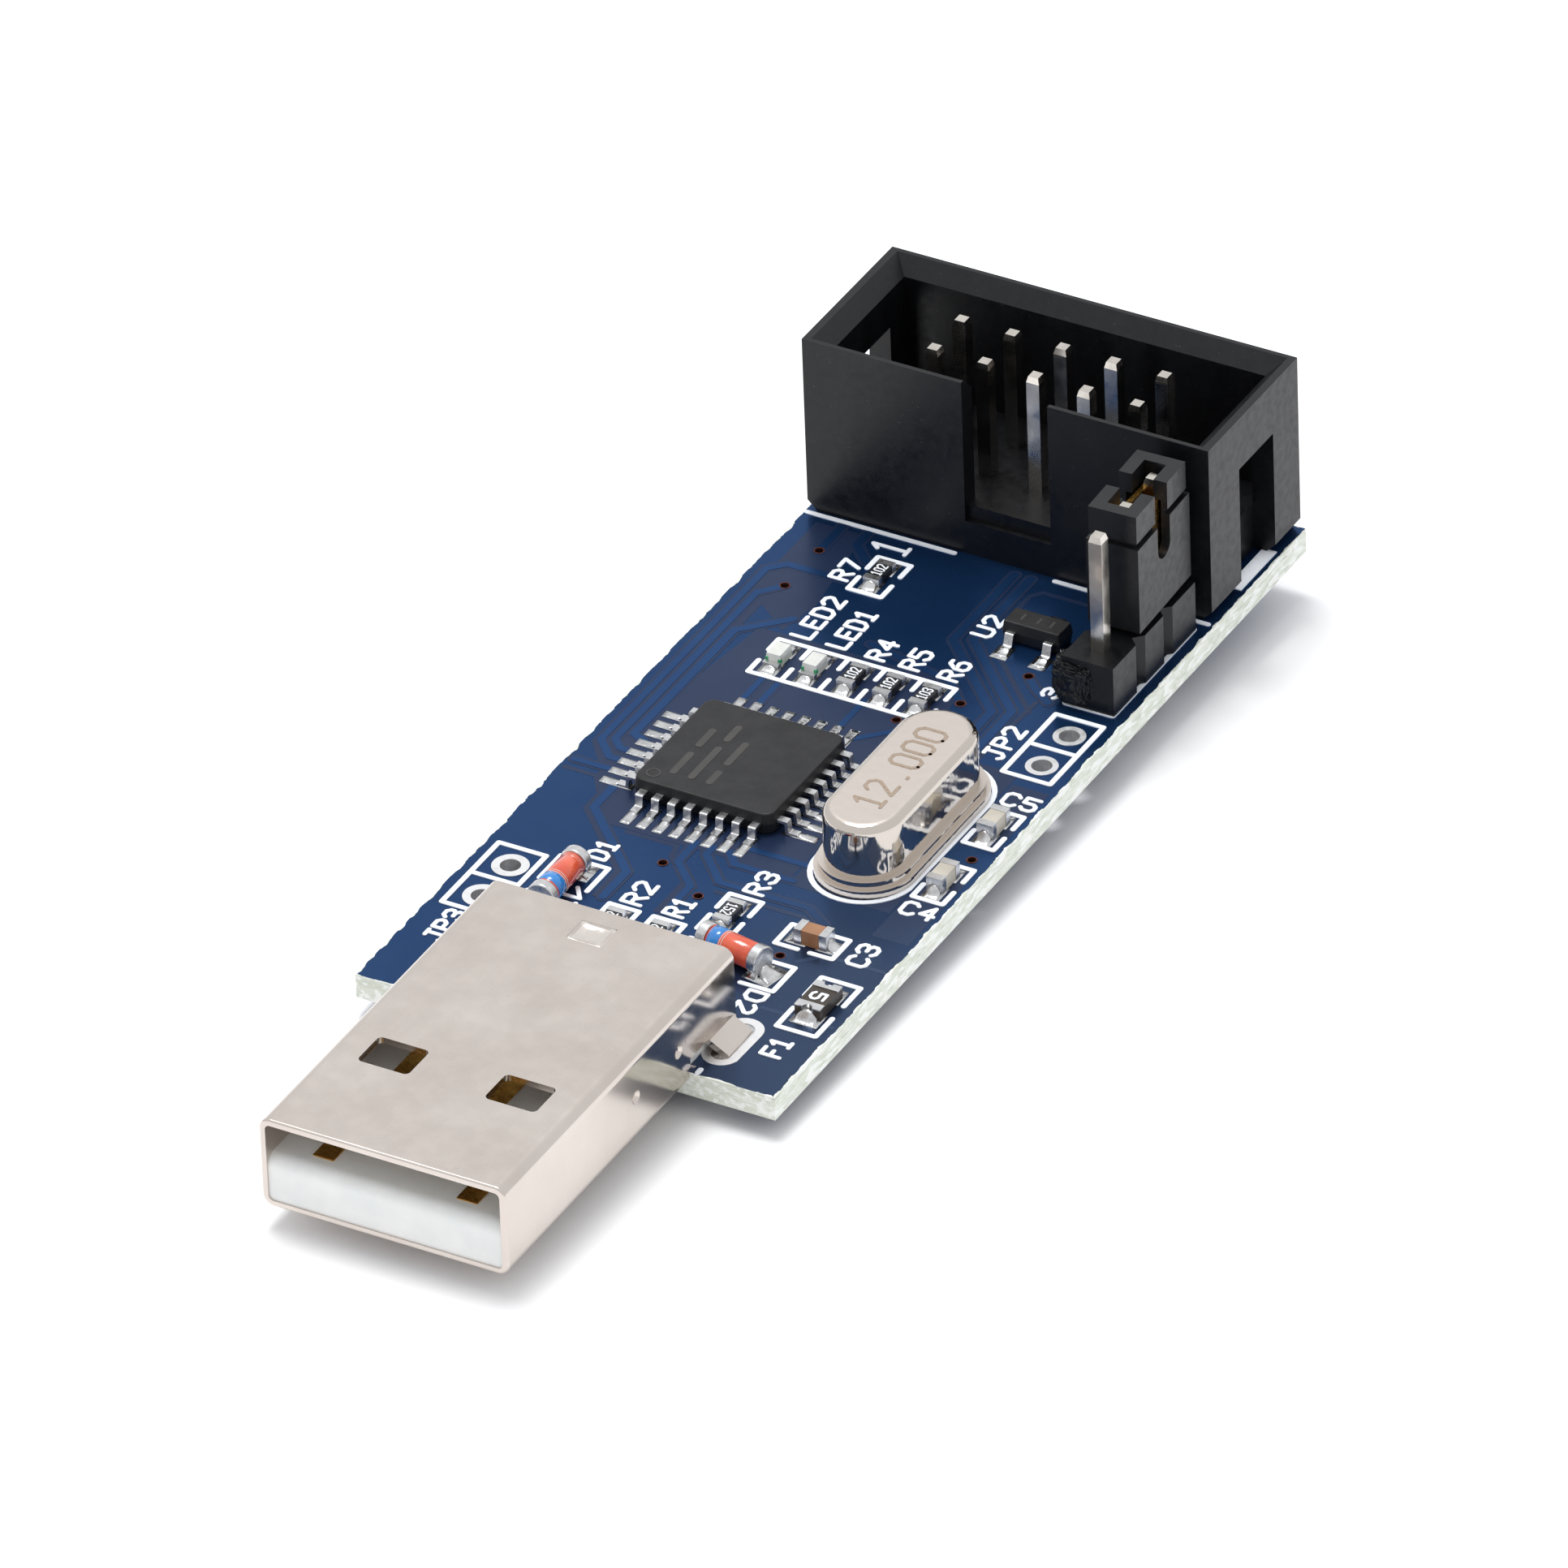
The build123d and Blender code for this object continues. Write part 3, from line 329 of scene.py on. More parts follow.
def make_finishes():
    """Every finish by name."""
    return {
        "solder_mask": board_finish(),
        "track_mask": mask_finish("track_mask", rgb(28, 66, 114), rgb(36, 73, 122), MASK_SHEEN),
        "bare_mask": mask_finish("bare_mask", rgb(32, 48, 80), rgb(42, 56, 86), 0.4),
        "legend": legend_finish(),
        "nickel_shell": shell_finish(),
        "pressed_nickel": plain_metal(
            "pressed_nickel", rgb(236, 229, 223), rgb(224, 216, 209), 0.22, relief=0.002
        ),
        "white_plastic": plain_plastic(
            "white_plastic", rgb(236, 235, 232), rgb(228, 228, 226), 0.34, Subsurface_Weight=0.05
        ),
        "gold": plain_metal("gold", rgb(226, 180, 92), rgb(196, 148, 70), 0.22),
        "solder": plain_metal("solder", rgb(222, 222, 222), rgb(186, 186, 188), 0.2, spots=0.5, relief=0.03),
        "tinned_pins": plain_metal(
            "tinned_pins", rgb(222, 216, 208), rgb(206, 200, 192), 0.18, spots=0.9, relief=0.0
        ),
        "tinned_leads": plain_metal("tinned_leads", rgb(226, 226, 226), rgb(196, 196, 198), 0.28),
        "black_plastic": header_finish("black_plastic", (15, 16, 20), 0.36),
        # the jumper shunt's black plastic, painted lighter: painted light standing in for the light on its
        # sides
        "shunt_plastic_painted_lighter": header_finish("shunt_plastic_painted_lighter", (26, 27, 31), 0.36),
        "mould_compound": header_finish("mould_compound", (36, 36, 38), 0.46),
        "silicon": plain_metal("silicon", rgb(96, 98, 108), rgb(84, 86, 98), 0.15),
        "copper": plain_metal("copper", rgb(206, 130, 92), rgb(176, 100, 66), 0.3),
        "via_copper": plain_metal("via_copper", rgb(120, 76, 66), rgb(84, 56, 54), 0.5),
        "crystal_metal": can_finish(),
        "seal_glass": glass_finish("seal_glass", rgb(150, 180, 165), 0.2),
        "quartz": glass_finish("quartz", rgb(236, 240, 242), 0.3),
        "resistor_black": plain_plastic("resistor_black", rgb(40, 40, 42), rgb(32, 32, 34), 0.28),
        "ceramic_white": plain_plastic("ceramic_white", rgb(226, 224, 216), rgb(208, 206, 198), 0.5),
        "capacitor_brown": plain_plastic("capacitor_brown", rgb(164, 118, 84), rgb(146, 102, 70), 0.42),
        "capacitor_grey": plain_plastic("capacitor_grey", rgb(196, 190, 178), rgb(178, 172, 160), 0.45),
        "diode_glass": glass_finish("diode_glass", rgb(255, 236, 226)),
        "diode_orange": plain_plastic(
            "diode_orange", rgb(226, 92, 54), rgb(200, 66, 38), 0.3, Coat_Weight=1.0, Coat_Roughness=0.03
        ),
        "diode_blue": plain_plastic(
            "diode_blue", rgb(26, 138, 214), rgb(18, 118, 196), 0.3, Coat_Weight=1.0, Coat_Roughness=0.05
        ),
        "fuse_brown": plain_plastic("fuse_brown", rgb(60, 50, 40), rgb(44, 38, 32), 0.4),
        "led_lens": lens_finish(),
        "led_base": plain_plastic("led_base", rgb(222, 224, 214), rgb(204, 208, 196), 0.45),
        "led_green": plain_plastic("led_green", rgb(30, 150, 96), rgb(22, 128, 80), 0.35),
        "etched": plain_metal("etched", rgb(184, 168, 152), rgb(160, 144, 130), 0.5, spots=0.1),
        "faint_mark": plain_plastic("faint_mark", rgb(62, 60, 58), rgb(54, 53, 52), 0.5),
        "pad_tin": plain_metal("pad_tin", rgb(238, 238, 238), rgb(214, 214, 216), 0.42, spots=0.4),
    }


FINISHES = make_finishes()


# ------------------------------------------------------------------ making pieces
def finish_piece(name, bm, finish, body="board", smooth=False):
    """Turns mesh work in board millimetres into a piece of the object."""
    bmesh.ops.recalc_face_normals(bm, faces=bm.faces)
    mesh = bpy.data.meshes.new(name)
    bm.to_mesh(mesh)
    bm.free()
    to_frame(mesh)
    if smooth:
        mesh.shade_smooth()
    piece = bpy.data.objects.new(name, mesh)
    bpy.context.scene.collection.objects.link(piece)
    mesh.materials.append(FINISHES[finish])
    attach(piece, body)
    return piece


def prism(bm, outline, low, high):
    """A flat plate over an outline given in order."""
    base = [bm.verts.new((x, y, low)) for x, y in outline]
    lid = [bm.verts.new((x, y, high)) for x, y in outline]
    bm.faces.new(lid)
    bm.faces.new(base[::-1])
    for i in range(len(base)):
        bm.faces.new((base[i - 1], base[i], lid[i], lid[i - 1]))


def block(bm, x0, x1, y0, y1, low, high):
    prism(bm, [(x0, y0), (x1, y0), (x1, y1), (x0, y1)], low, high)


def arc(x, y, radius, start, end, steps=12):
    """Points along an arc, with its angles in degrees."""
    turns = [math.radians(start + (end - start) * i / steps) for i in range(steps + 1)]
    return [(x + radius * math.cos(t), y + radius * math.sin(t)) for t in turns]


# pieces of band that cross lie at slightly different heights, so that no two faces fall together
LAYER_STEP = 0.0012
LAYERS = itertools.cycle([LAYER_STEP * i for i in range(7)])
CAP_STEPS = 8


def ribbon(bm, points, width, low, high, closed=False):
    """A flat band along a line, made of round-ended strips."""
    line = [Vector(p) for p in points]
    ends = line[1:] + line[:1] if closed else line[1:]
    for start, end in zip(line, ends):
        heading = math.degrees(math.atan2(end.y - start.y, end.x - start.x))
        outline = arc(start.x, start.y, width / 2, heading + 90, heading + 270, CAP_STEPS)
        outline += arc(end.x, end.y, width / 2, heading - 90, heading + 90, CAP_STEPS)
        step = next(LAYERS)
        prism(bm, outline, low - step, high + step)


def ring(bm, x, y, inner, outer, low, high, steps=32):
    """A flat ring round a point."""
    ribbon(bm, arc(x, y, (inner + outer) / 2, 0, 360, steps)[:-1], outer - inner, low, high, closed=True)


PLATING = 0.03


def barrel(bm, x, y, radius):
    """Plating inside a hole, from face to face of the board."""
    ring(bm, x, y, radius - PLATING, radius, UNDERSIDE, 0.0, steps=24)


def slot_outline(x, y, length, width, steps=10):
    """The outline of an upright slot round a point."""
    reach = (length - width) / 2
    return arc(x, y + reach, width / 2, 0, 180, steps) + arc(x, y - reach, width / 2, 180, 360, steps)


# ------------------------------------------------------------------ lettering
GLYPHS = {
    "0": [[(1, 0), (3, 0), (4, 1), (4, 5), (3, 6), (1, 6), (0, 5), (0, 1), (1, 0)]],
    "1": [[(0.6, 4.8), (2, 6), (2, 0)], [(0.6, 0), (3.4, 0)]],
    "2": [[(0, 5), (1, 6), (3, 6), (4, 5), (4, 4), (0, 0), (4, 0)]],
    "3": [[(0, 5), (1, 6), (3, 6), (4, 5), (4, 4), (3, 3.1), (4, 2.2), (4, 1), (3, 0), (1, 0), (0, 1)],
          [(1.4, 3.1), (3, 3.1)]],
    "4": [[(3, 0), (3, 6), (0, 2), (4, 2)]],
    "5": [[(4, 6), (0, 6), (0, 3.5), (3, 3.5), (4, 2.6), (4, 1), (3, 0), (1, 0), (0, 1)]],
    "6": [[(3.6, 6), (2, 6), (0, 3.6), (0, 1), (1, 0), (3, 0), (4, 1), (4, 2.5), (3, 3.5), (0.6, 3.3)]],
    "7": [[(0, 6), (4, 6), (1.4, 0)]],
    "C": [[(4, 5), (3, 6), (1, 6), (0, 5), (0, 1), (1, 0), (3, 0), (4, 1)]],
    "D": [[(0, 0), (0, 6), (2.6, 6), (4, 4.6), (4, 1.4), (2.6, 0), (0, 0)]],
    "E": [[(4, 6), (0, 6), (0, 0), (4, 0)], [(0, 3.1), (3, 3.1)]],
    "F": [[(4, 6), (0, 6), (0, 0)], [(0, 3), (3, 3)]],
    "J": [[(1.2, 6), (4, 6)], [(2.8, 6), (2.8, 1), (1.8, 0), (0.8, 0), (0, 1)]],
    "L": [[(0, 6), (0, 0), (4, 0)]],
    "P": [[(0, 0), (0, 6), (3, 6), (4, 5), (4, 4), (3, 3), (0, 3)]],
    "R": [[(0, 0), (0, 6), (3, 6), (4, 5), (4, 4), (3, 3), (0, 3)], [(2, 3), (4, 0)]],
    "U": [[(0, 6), (0, 1), (1, 0), (3, 0), (4, 1), (4, 6)]],
    ".": [[(1.7, 0), (2.3, 0)]],
}
GLYPH_WIDTH = 4.0
GLYPH_HEIGHT = 6.0
GLYPH_GAP = 1.9


def letters(bm, text, x, y, height, length, low, high, turn=90, stroke=0.2):
    """Plain stroke lettering. x, y is the outer corner where it starts, and it reads towards turn."""
    grid_length = len(text) * GLYPH_WIDTH + (len(text) - 1) * GLYPH_GAP
    wide, tall = (length - stroke) / grid_length, (height - stroke) / GLYPH_HEIGHT
    heading = math.radians(turn)
    along = Vector((math.cos(heading), math.sin(heading)))
    up = Vector((-along.y, along.x))
    start = Vector((x, y)) + (along + up) * stroke / 2
    for place, character in enumerate(text):
        for line in GLYPHS[character]:
            shift = place * (GLYPH_WIDTH + GLYPH_GAP)
            spots = [start + along * (u + shift) * wide + up * v * tall for u, v in line]
            closed = (spots[0] - spots[-1]).length < stroke / 10
            ribbon(bm, spots[:-1] if closed else spots, stroke, low, high, closed)


# ------------------------------------------------------------------ board: tracks, bare laminate, vias
BARE_TOP, TRACK_TOP, PAD_TOP = 0.006, 0.018, 0.03
OVER, UNDER = 0.0004, 0.003  # how far a gap beside a track lies over the bare areas, and a plain gap under
TRACK_GAP = 0.13
BARE_AREAS = [
    [(-8.45, 17.6), (-8.45, 24.6), (-7.6, 31.0), (2.4, 31.0), (3.0, 29.0), (3.0, 14.75), (-6.3, 14.75)],
    [(-9.9, 20.0), (-8.4, 18.2), (-8.4, 33.5), (-9.9, 35.4)],
    [(3.1, 14.2), (8.1, 14.2), (8.1, 26.0), (3.1, 26.0)],
    [(8.2, 12.4), (10.0, 12.4), (10.0, 18.6), (8.2, 18.6)],
    [(8.2, 20.2), (10.0, 20.2), (10.0, 25.2), (8.2, 25.2)],
    [(-9.4, 33.4), (-6.6, 31.2), (-6.2, 33.6), (-7.0, 39.4), (-9.4, 39.4)],
]
TRACKS = [
    (0.35, [(-9.6, 35.2), (-9.6, 20.3), (-8.6, 19.25), (-7.6, 19.25)]),
    (0.35, [(-9.05, 33.4), (-9.05, 20.6), (-8.5, 20.05), (-7.6, 20.05)]),
    (0.35, [(-8.2, 34.35), (-9.0, 33.4)]),
    (0.4, [(-9.6, 35.2), (-8.9, 35.9), (-6.0, 35.9)]),
    (0.4, [(-6.6, 32.2), (-8.5, 30.3), (-8.5, 21.3), (-7.6, 20.85)]),
    (0.3, [(-5.55, 28.0), (-5.55, 25.0)]),
    (0.3, [(-4.75, 27.4), (-4.75, 25.0)]),
    (0.3, [(-0.7, 28.0), (-0.7, 25.0)]),
    (0.3, [(0.09, 25.0), (1.6, 26.5)]),
    (0.35, [(-8.0, 18.45), (-9.9, 18.45)]),
    (0.4, [(-7.3, 17.6), (-7.3, 15.6), (-3.6, 11.9), (-3.6, 9.8)]),
    (0.35, [(-2.0, 15.2), (-2.0, 13.6), (-0.6, 12.2), (-0.6, 9.9)]),
    (0.35, [(-1.15, 15.2), (-1.15, 14.6), (0.4, 13.0), (4.8, 13.0), (6.0, 12.2)]),
    (0.35, [(-0.3, 15.2), (0.3, 14.5), (3.2, 14.5)]),
    (0.35, [(3.2, 15.8), (0.2, 15.8)]),
    (0.4, [(5.41, 9.32), (5.41, 8.6)]),
    (0.4, [(0.5, 39.6), (0.5, 33.9), (4.7, 29.7), (4.7, 26.5)]),
    (0.4, [(1.3, 39.6), (1.3, 34.3), (5.5, 30.1), (5.5, 26.6)]),
    (0.35, [(3.18, 29.66), (1.9, 31.0), (-2.6, 32.0)]),
    (0.35, [(4.85, 32.85), (5.6, 32.1), (6.6, 31.4)]),
    (0.4, [(-8.18, 37.45), (-8.18, 39.6)]),
    (0.4, [(-6.9, 39.6), (-6.9, 38.6), (-5.9, 37.6)]),
]
GAPS = [
    (0.25, [(-10.0, 17.75), (-8.4, 17.75), (-7.6, 16.6), (-7.6, 15.4), (-4.0, 11.8), (-4.0, 9.8)]),
    (0.25, [(-5.1, 14.6), (-2.6, 14.6), (-2.45, 13.8), (-1.0, 12.3), (-1.0, 9.9)]),
    (0.25, [(0.6, 12.3), (4.9, 12.3), (5.8, 11.9)]),
    (0.25, [(6.1, 31.2), (5.9, 27.0), (5.9, 26.3)]),
    (0.25, [(2.6, 34.0), (6.2, 30.4)]),
    (0.25, [(6.6, 5.6), (10.0, 5.6)]),
    (0.25, [(6.3, 9.3), (7.2, 10.2), (10.0, 10.2)]),
    (0.25, [(5.9, 38.9), (2.3, 38.9), (1.9, 38.4), (1.9, 35.8)]),
]
VIAS = [
    (0.07, 11.68), (-2.53, 13.2), (5.41, 9.32), (-8.18, 37.45), (-8.2, 34.35),
    (4.85, 32.85), (3.18, 29.66), (1.28, 27.3), (9.36, 19.33),
]
VIA_RADIUS = 0.22
VIA_LIP = 0.03  # how far a via's ring stands out past its hole on the top face
VIA_RING = 0.36
RING_LAP = 0.02  # how far a ring reaches into its hole
PUNCH_REACH = 0.5


def punch(piece):
    """Cuts the vias' holes through a piece."""
    bm = bmesh.new()
    for x, y in VIAS:
        prism(bm, arc(x, y, VIA_RADIUS, 0, 360, 20)[:-1], -PUNCH_REACH, PUNCH_REACH)
    cutter = bpy.data.meshes.new("punches")
    bm.to_mesh(cutter)
    bm.free()
    to_frame(cutter)
    tool = bpy.data.objects.new("punches", cutter)
    bpy.context.scene.collection.objects.link(tool)
    cut = piece.modifiers.new("holes", "BOOLEAN")
    cut.operation, cut.solver, cut.object, cut.use_self = "DIFFERENCE", "EXACT", tool, True
    bpy.context.view_layer.objects.active = piece
    bpy.ops.object.modifier_apply(modifier=cut.name)
    bpy.data.objects.remove(tool)


def make_tracks():
    """Copper tracks under the mask, standing proud of the bare laminate beside them."""
    bare = bmesh.new()
    for step, area in enumerate(BARE_AREAS):
        prism(bare, area, 0.0, BARE_TOP - 0.0004 * step)
    for step, (width, course) in enumerate(TRACKS):
        ribbon(bare, course, width + 2 * TRACK_GAP, 0.0, BARE_TOP + OVER + 0.0001 * step)
    for step, (width, course) in enumerate(GAPS):
        ribbon(bare, course, width, 0.0, BARE_TOP - UNDER - 0.0002 * step)
    punch(finish_piece("bare_laminate_gaps", bare, "bare_mask"))
    tracks = bmesh.new()
    for step, (width, course) in enumerate(TRACKS):
        ribbon(tracks, course, width, 0.0, TRACK_TOP + 0.0001 * step)
    punch(finish_piece("copper_tracks", tracks, "track_mask"))


def make_vias():
    """Copper rings and barrels of the small plated holes."""
    bm = bmesh.new()
    for x, y in VIAS:
        ring(bm, x, y, VIA_RADIUS - RING_LAP, VIA_RADIUS + VIA_LIP, 0.0, TRACK_TOP + 0.006)
        ring(bm, x, y, VIA_RADIUS - RING_LAP, VIA_RING, UNDERSIDE - TRACK_TOP, UNDERSIDE)
        barrel(bm, x, y, VIA_RADIUS)
    finish_piece("via_barrels", bm, "via_copper")


# ------------------------------------------------------------------ pads and solder
CHIPS = [
    *(f"resistor_r{number}" for number in range(1, 8)),
    "capacitor_c3", "capacitor_c4", "capacitor_c5", "led_1", "led_2", "fuse",
]
CROSSWISE_CHIPS = ("capacitor_c3",)  # the rest lie along the board
CHIP_PAD_REACH = 0.5
CHIP_PAD_UNDER = 0.55
CHIP_PAD_SIDE = 0.06


def fillet(bm, x, y, heading, width, height, reach, narrow=0.75, steps=7):
    """A solder fillet: hollow-sided, from a wall of some height down to the pad's end."""
    out = Vector(heading).normalized()
    side = Vector((-out.y, out.x))
    rows = []
    for i in range(steps + 1):
        share = i / steps
        row = []
        for j in range(-3, 4):
            across = j / 3
            spread = width / 2 * (narrow + (1 - narrow) * share)
            rise = (1 - share) ** 2.2 * (1 - 0.55 * across ** 2) * height
            flat = Vector((x, y)) + out * reach * share + side * across * spread
            row.append(bm.verts.new((flat.x, flat.y, PAD_TOP + rise)))
        rows.append(row)
    for one, two in zip(rows, rows[1:]):
        for a, b in zip(range(6), range(1, 7)):
            bm.faces.new((one[a], one[b], two[b], two[a]))
    rim = rows[0] + [r[-1] for r in rows[1:]] + rows[-1][-2::-1] + [r[0] for r in rows[-2:0:-1]]
    foot = [bm.verts.new((v.co.x, v.co.y, 0.0)) for v in rim]
    bm.faces.new(foot[::-1])
    for i in range(len(rim)):
        bm.faces.new((rim[i - 1], rim[i], foot[i], foot[i - 1]))


def make_chip_solder():
    """Pads and fillets at both ends of every chip."""
    bm = bmesh.new()
    for name in CHIPS:
        low, high = node_box(f"{name}_terminals")
        middle, half = (low + high) / 2, (high - low) / 2
        crosswise = name in CROSSWISE_CHIPS
        length, width = (half.x, half.y * 2) if crosswise else (half.y, half.x * 2)
        for sign in (-1, 1):
            out = Vector((sign, 0)) if crosswise else Vector((0, sign))
            end = Vector((middle.x, middle.y)) + out * length
            side = Vector((-out.y, out.x)) * (width / 2 + CHIP_PAD_SIDE)
            back, front = end - out * CHIP_PAD_UNDER, end + out * CHIP_PAD_REACH
            prism(bm, [back - side, front - side, front + side, back + side], 0.0, PAD_TOP)
            rise = (high.z - low.z) * (0.62 if name.startswith("capacitor") else 0.8)
            fillet(bm, end.x, end.y, out, width, rise, CHIP_PAD_REACH * 0.92)
    finish_piece("chip_solder", bm, "solder", smooth=True)


MCU_LEADS = 8
MCU_PITCH = 0.8
MCU_PAD_WIDTH = 0.46
MCU_PAD_END = 5.37
MCU_PAD_START = 3.75


def make_mcu_pads():
    """Pads under the microcontroller's leads, with a little solder at each toe."""
    middle = node_middle("microcontroller_package")
    toe = (node_box("microcontroller_leads")[1] - node_box("microcontroller_leads")[0]).x / 2
    bm = bmesh.new()
    for quarter in range(4):
        turn = Matrix.Rotation(math.radians(90 * quarter), 2)
        for i in range(MCU_LEADS):
            across = (i - (MCU_LEADS - 1) / 2) * MCU_PITCH
            near, far = across - MCU_PAD_WIDTH / 2, across + MCU_PAD_WIDTH / 2
            corners = [(MCU_PAD_START, near), (MCU_PAD_END, near), (MCU_PAD_END, far), (MCU_PAD_START, far)]
            centre = Vector((middle.x, middle.y))
            prism(bm, [centre + turn @ Vector(c) for c in corners], 0.0, PAD_TOP)
            start = centre + turn @ Vector((toe - 0.05, across))
            out = turn @ Vector((1.0, 0.0))
            fillet(bm, start.x, start.y, out, MCU_PAD_WIDTH * 0.9, 0.1, MCU_PAD_END - toe, narrow=0.85)
    finish_piece("microcontroller_pads", bm, "solder", smooth=True)


DIODES = {"d1": 90.0, "d2": -11.0}  # name and heading from the band's end, in degrees
DIODE_LENGTH = 3.4
REGULATOR_SPREAD = 0.95
REGULATOR_PAD = 0.4  # half of its width
DIODE_PAD_UNDER, DIODE_PAD_REACH, DIODE_PAD_SIDE = 0.7, 0.75, 0.75


def heading_vector(degrees):
    turn = math.radians(degrees)
    return Vector((math.cos(turn), math.sin(turn)))


def make_small_pads():
    """Pads and solder of the regulator and of the two glass diodes."""
    bm = bmesh.new()
    regulator = node_middle("regulator_package")
    low, high = node_box("regulator_leads")
    for x, y, sign in (
        (regulator.x - REGULATOR_SPREAD, low.y, -1), (regulator.x + REGULATOR_SPREAD, low.y, -1),
        (regulator.x, high.y, 1),
    ):
        front, rear = sorted((y, y + sign * 0.5))
        block(bm, x - REGULATOR_PAD, x + REGULATOR_PAD, front - 0.25, rear + 0.25, 0.0, PAD_TOP)
        fillet(bm, x, y, (0, sign), 0.7, 0.14, 0.5)
    for name, heading in DIODES.items():
        middle = node_middle(f"diode_{name}_caps")
        along = heading_vector(heading)
        for sign in (-1, 1):
            end = Vector((middle.x, middle.y)) + along * sign * DIODE_LENGTH / 2
            side = Vector((-along.y, along.x)) * DIODE_PAD_SIDE
            back, front = end - along * sign * DIODE_PAD_UNDER, end + along * sign * DIODE_PAD_REACH
            prism(bm, [back - side, front - side, front + side, back + side], 0.0, PAD_TOP)
            fillet(bm, end.x, end.y, along * sign, 1.2, 0.5, 0.6, narrow=0.6)
            for flank in (-1, 1):
                spot = end - along * sign * 0.25 + side * flank * 0.42
                fillet(bm, spot.x, spot.y, side * flank, 0.6, 0.3, 0.4, narrow=0.6)
    finish_piece("diode_and_regulator_solder", bm, "solder", smooth=True)


SPARE_HOLES = [(8.66, 27.0, 0.74), (8.66, 29.54, 0.74), (-8.35, 7.54, 0.84), (-8.35, 10.08, 0.84)]
SPARE_RADIUS = 0.5
SPARE_LAP = 0.03
SLOT_SPREAD = 6.53  # from the plug's centre line to a slot's
SLOT_Y = 2.8
TOP_SLOT_RING = (3.3, 1.4, 0.4)  # length and width of its centre line, and the band's own width
UNDER_SLOT_RING = (3.8, 1.9, 0.5)
PLUG_X = node_middle("usb_shell").x


def make_hole_pads():
    """Tinned rings of the plated holes and of the slots, on both faces."""
    bm = bmesh.new()
    for x, y, outer in SPARE_HOLES:
        for low in (0.0, UNDERSIDE - PAD_TOP):
            ring(bm, x, y, SPARE_RADIUS - SPARE_LAP, outer, low, low + PAD_TOP)
        barrel(bm, x, y, SPARE_RADIUS)
    for side in (-1, 1):
        for (length, width, band), low in ((TOP_SLOT_RING, 0.0), (UNDER_SLOT_RING, UNDERSIDE - PAD_TOP)):
            outline = slot_outline(PLUG_X + side * SLOT_SPREAD, SLOT_Y, length, width)
            ribbon(bm, outline[:-1], band, low, low + PAD_TOP, closed=True)
    finish_piece("hole_pads", bm, "pad_tin")


# ------------------------------------------------------------------ printed legend
LEGEND_TOP, LEGEND_WIDTH = 0.042, 0.25


def printed_line(bm, *points, width=LEGEND_WIDTH, closed=False):
    ribbon(bm, points, width, 0.0, LEGEND_TOP, closed)


def printed_text(bm, text, x, y, height, length, turn=90):
    letters(bm, text, x, y, height, length, 0.0, LEGEND_TOP, turn=turn)


def upright_box(bm, x0, x1, y0, y1, arm):
    """A box round a chip, with a gap half way along its left and right sides."""
    for end, sign in ((y0, 1), (y1, -1)):
        printed_line(bm, (x0, end + sign * arm), (x0, end), (x1, end), (x1, end + sign * arm))


def flat_box(bm, x0, x1, y0, y1, arm):
    """A box round a chip, with a gap half way along its front and rear sides."""
    for end, sign in ((x0, 1), (x1, -1)):
        printed_line(bm, (end + sign * arm, y0), (end, y0), (end, y1), (end + sign * arm, y1))


def closed_box(bm, x0, x1, y0, y1):
    printed_line(bm, (x0, y0), (x1, y0), (x1, y1), (x0, y1), closed=True)


UPRIGHT_BOXES = [
    (1.22, 2.83, 9.52, 12.43, 1.15), (-5.58, -3.92, 35.36, 38.14, 1.0), (-0.9, 0.64, 6.6, 9.48, 1.1),
    (-3.08, -1.62, 6.6, 9.48, 1.1), (8.37, 9.86, 20.36, 23.14, 1.0), (8.37, 9.86, 15.77, 18.63, 1.0),
    (7.82, 9.72, 4.67, 8.68, 1.5), (-6.76, -4.4, 6.9, 11.73, 1.9),
]
FLAT_BOXES = [(4.76, 7.58, 10.05, 11.61, 1.1), (1.3, 6.46, 6.8, 8.76, 1.6)]
JUMPER_BOXES = [(7.32, 9.68, 25.87, 30.78, 28.32), (-9.66, -7.3, 6.38, 11.38, 8.9)]  # and each one's divider
ROW_DIVIDERS = (-6.38, -4.72, -2.86, -1.02, 0.8, 2.48)
ROW_RAILS = [(27.72, 28.7), (30.53, 29.6)]  # each rail, and where its dividers end
HEADER_LINES = [(-10.15, -2.7), (2.35, 10.0)]
HEADER_LINE_GAP = 0.27
DESIGNATORS = [
    ("R2", -1.71, 9.8, 1.14, 1.8), ("R1", 0.37, 9.8, 1.15, 1.45), ("D1", -4.77, 12.1, 1.11, 1.5),
    ("R3", 2.66, 12.8, 1.11, 1.8), ("C3", 9.19, 10.0, 1.11, 1.75), ("F1", 9.19, 2.5, 1.11, 1.45),
    ("JP3", -8.1, 3.65, 1.1, 2.45), ("JP2", 6.93, 26.5, 1.13, 2.6), ("LED2", -5.04, 31.0, 1.14, 3.5),
    ("LED1", -3.27, 31.0, 1.12, 3.2), ("R4", -1.32, 30.93, 1.08, 1.67), ("R5", 0.41, 30.93, 1.12, 1.67),
    ("R6", 2.32, 30.93, 1.12, 1.67), ("R7", -5.81, 35.75, 1.07, 1.7), ("U2", 1.97, 34.6, 1.07, 1.75),
]


SIDE_DESIGNATORS = [
    ("1", -4.5, 38.55, 1.9, 0.95, 90), ("C4", 8.3, 14.35, 1.1, 1.75, 0), ("C5", 8.3, 23.55, 1.1, 1.75, 0),
    ("D2", 5.4, 6.6, 1.1, 1.8, -90), ("3", 6.85, 31.7, 0.95, 0.8, 90), ("2", 6.85, 33.9, 0.95, 0.8, 90),
]


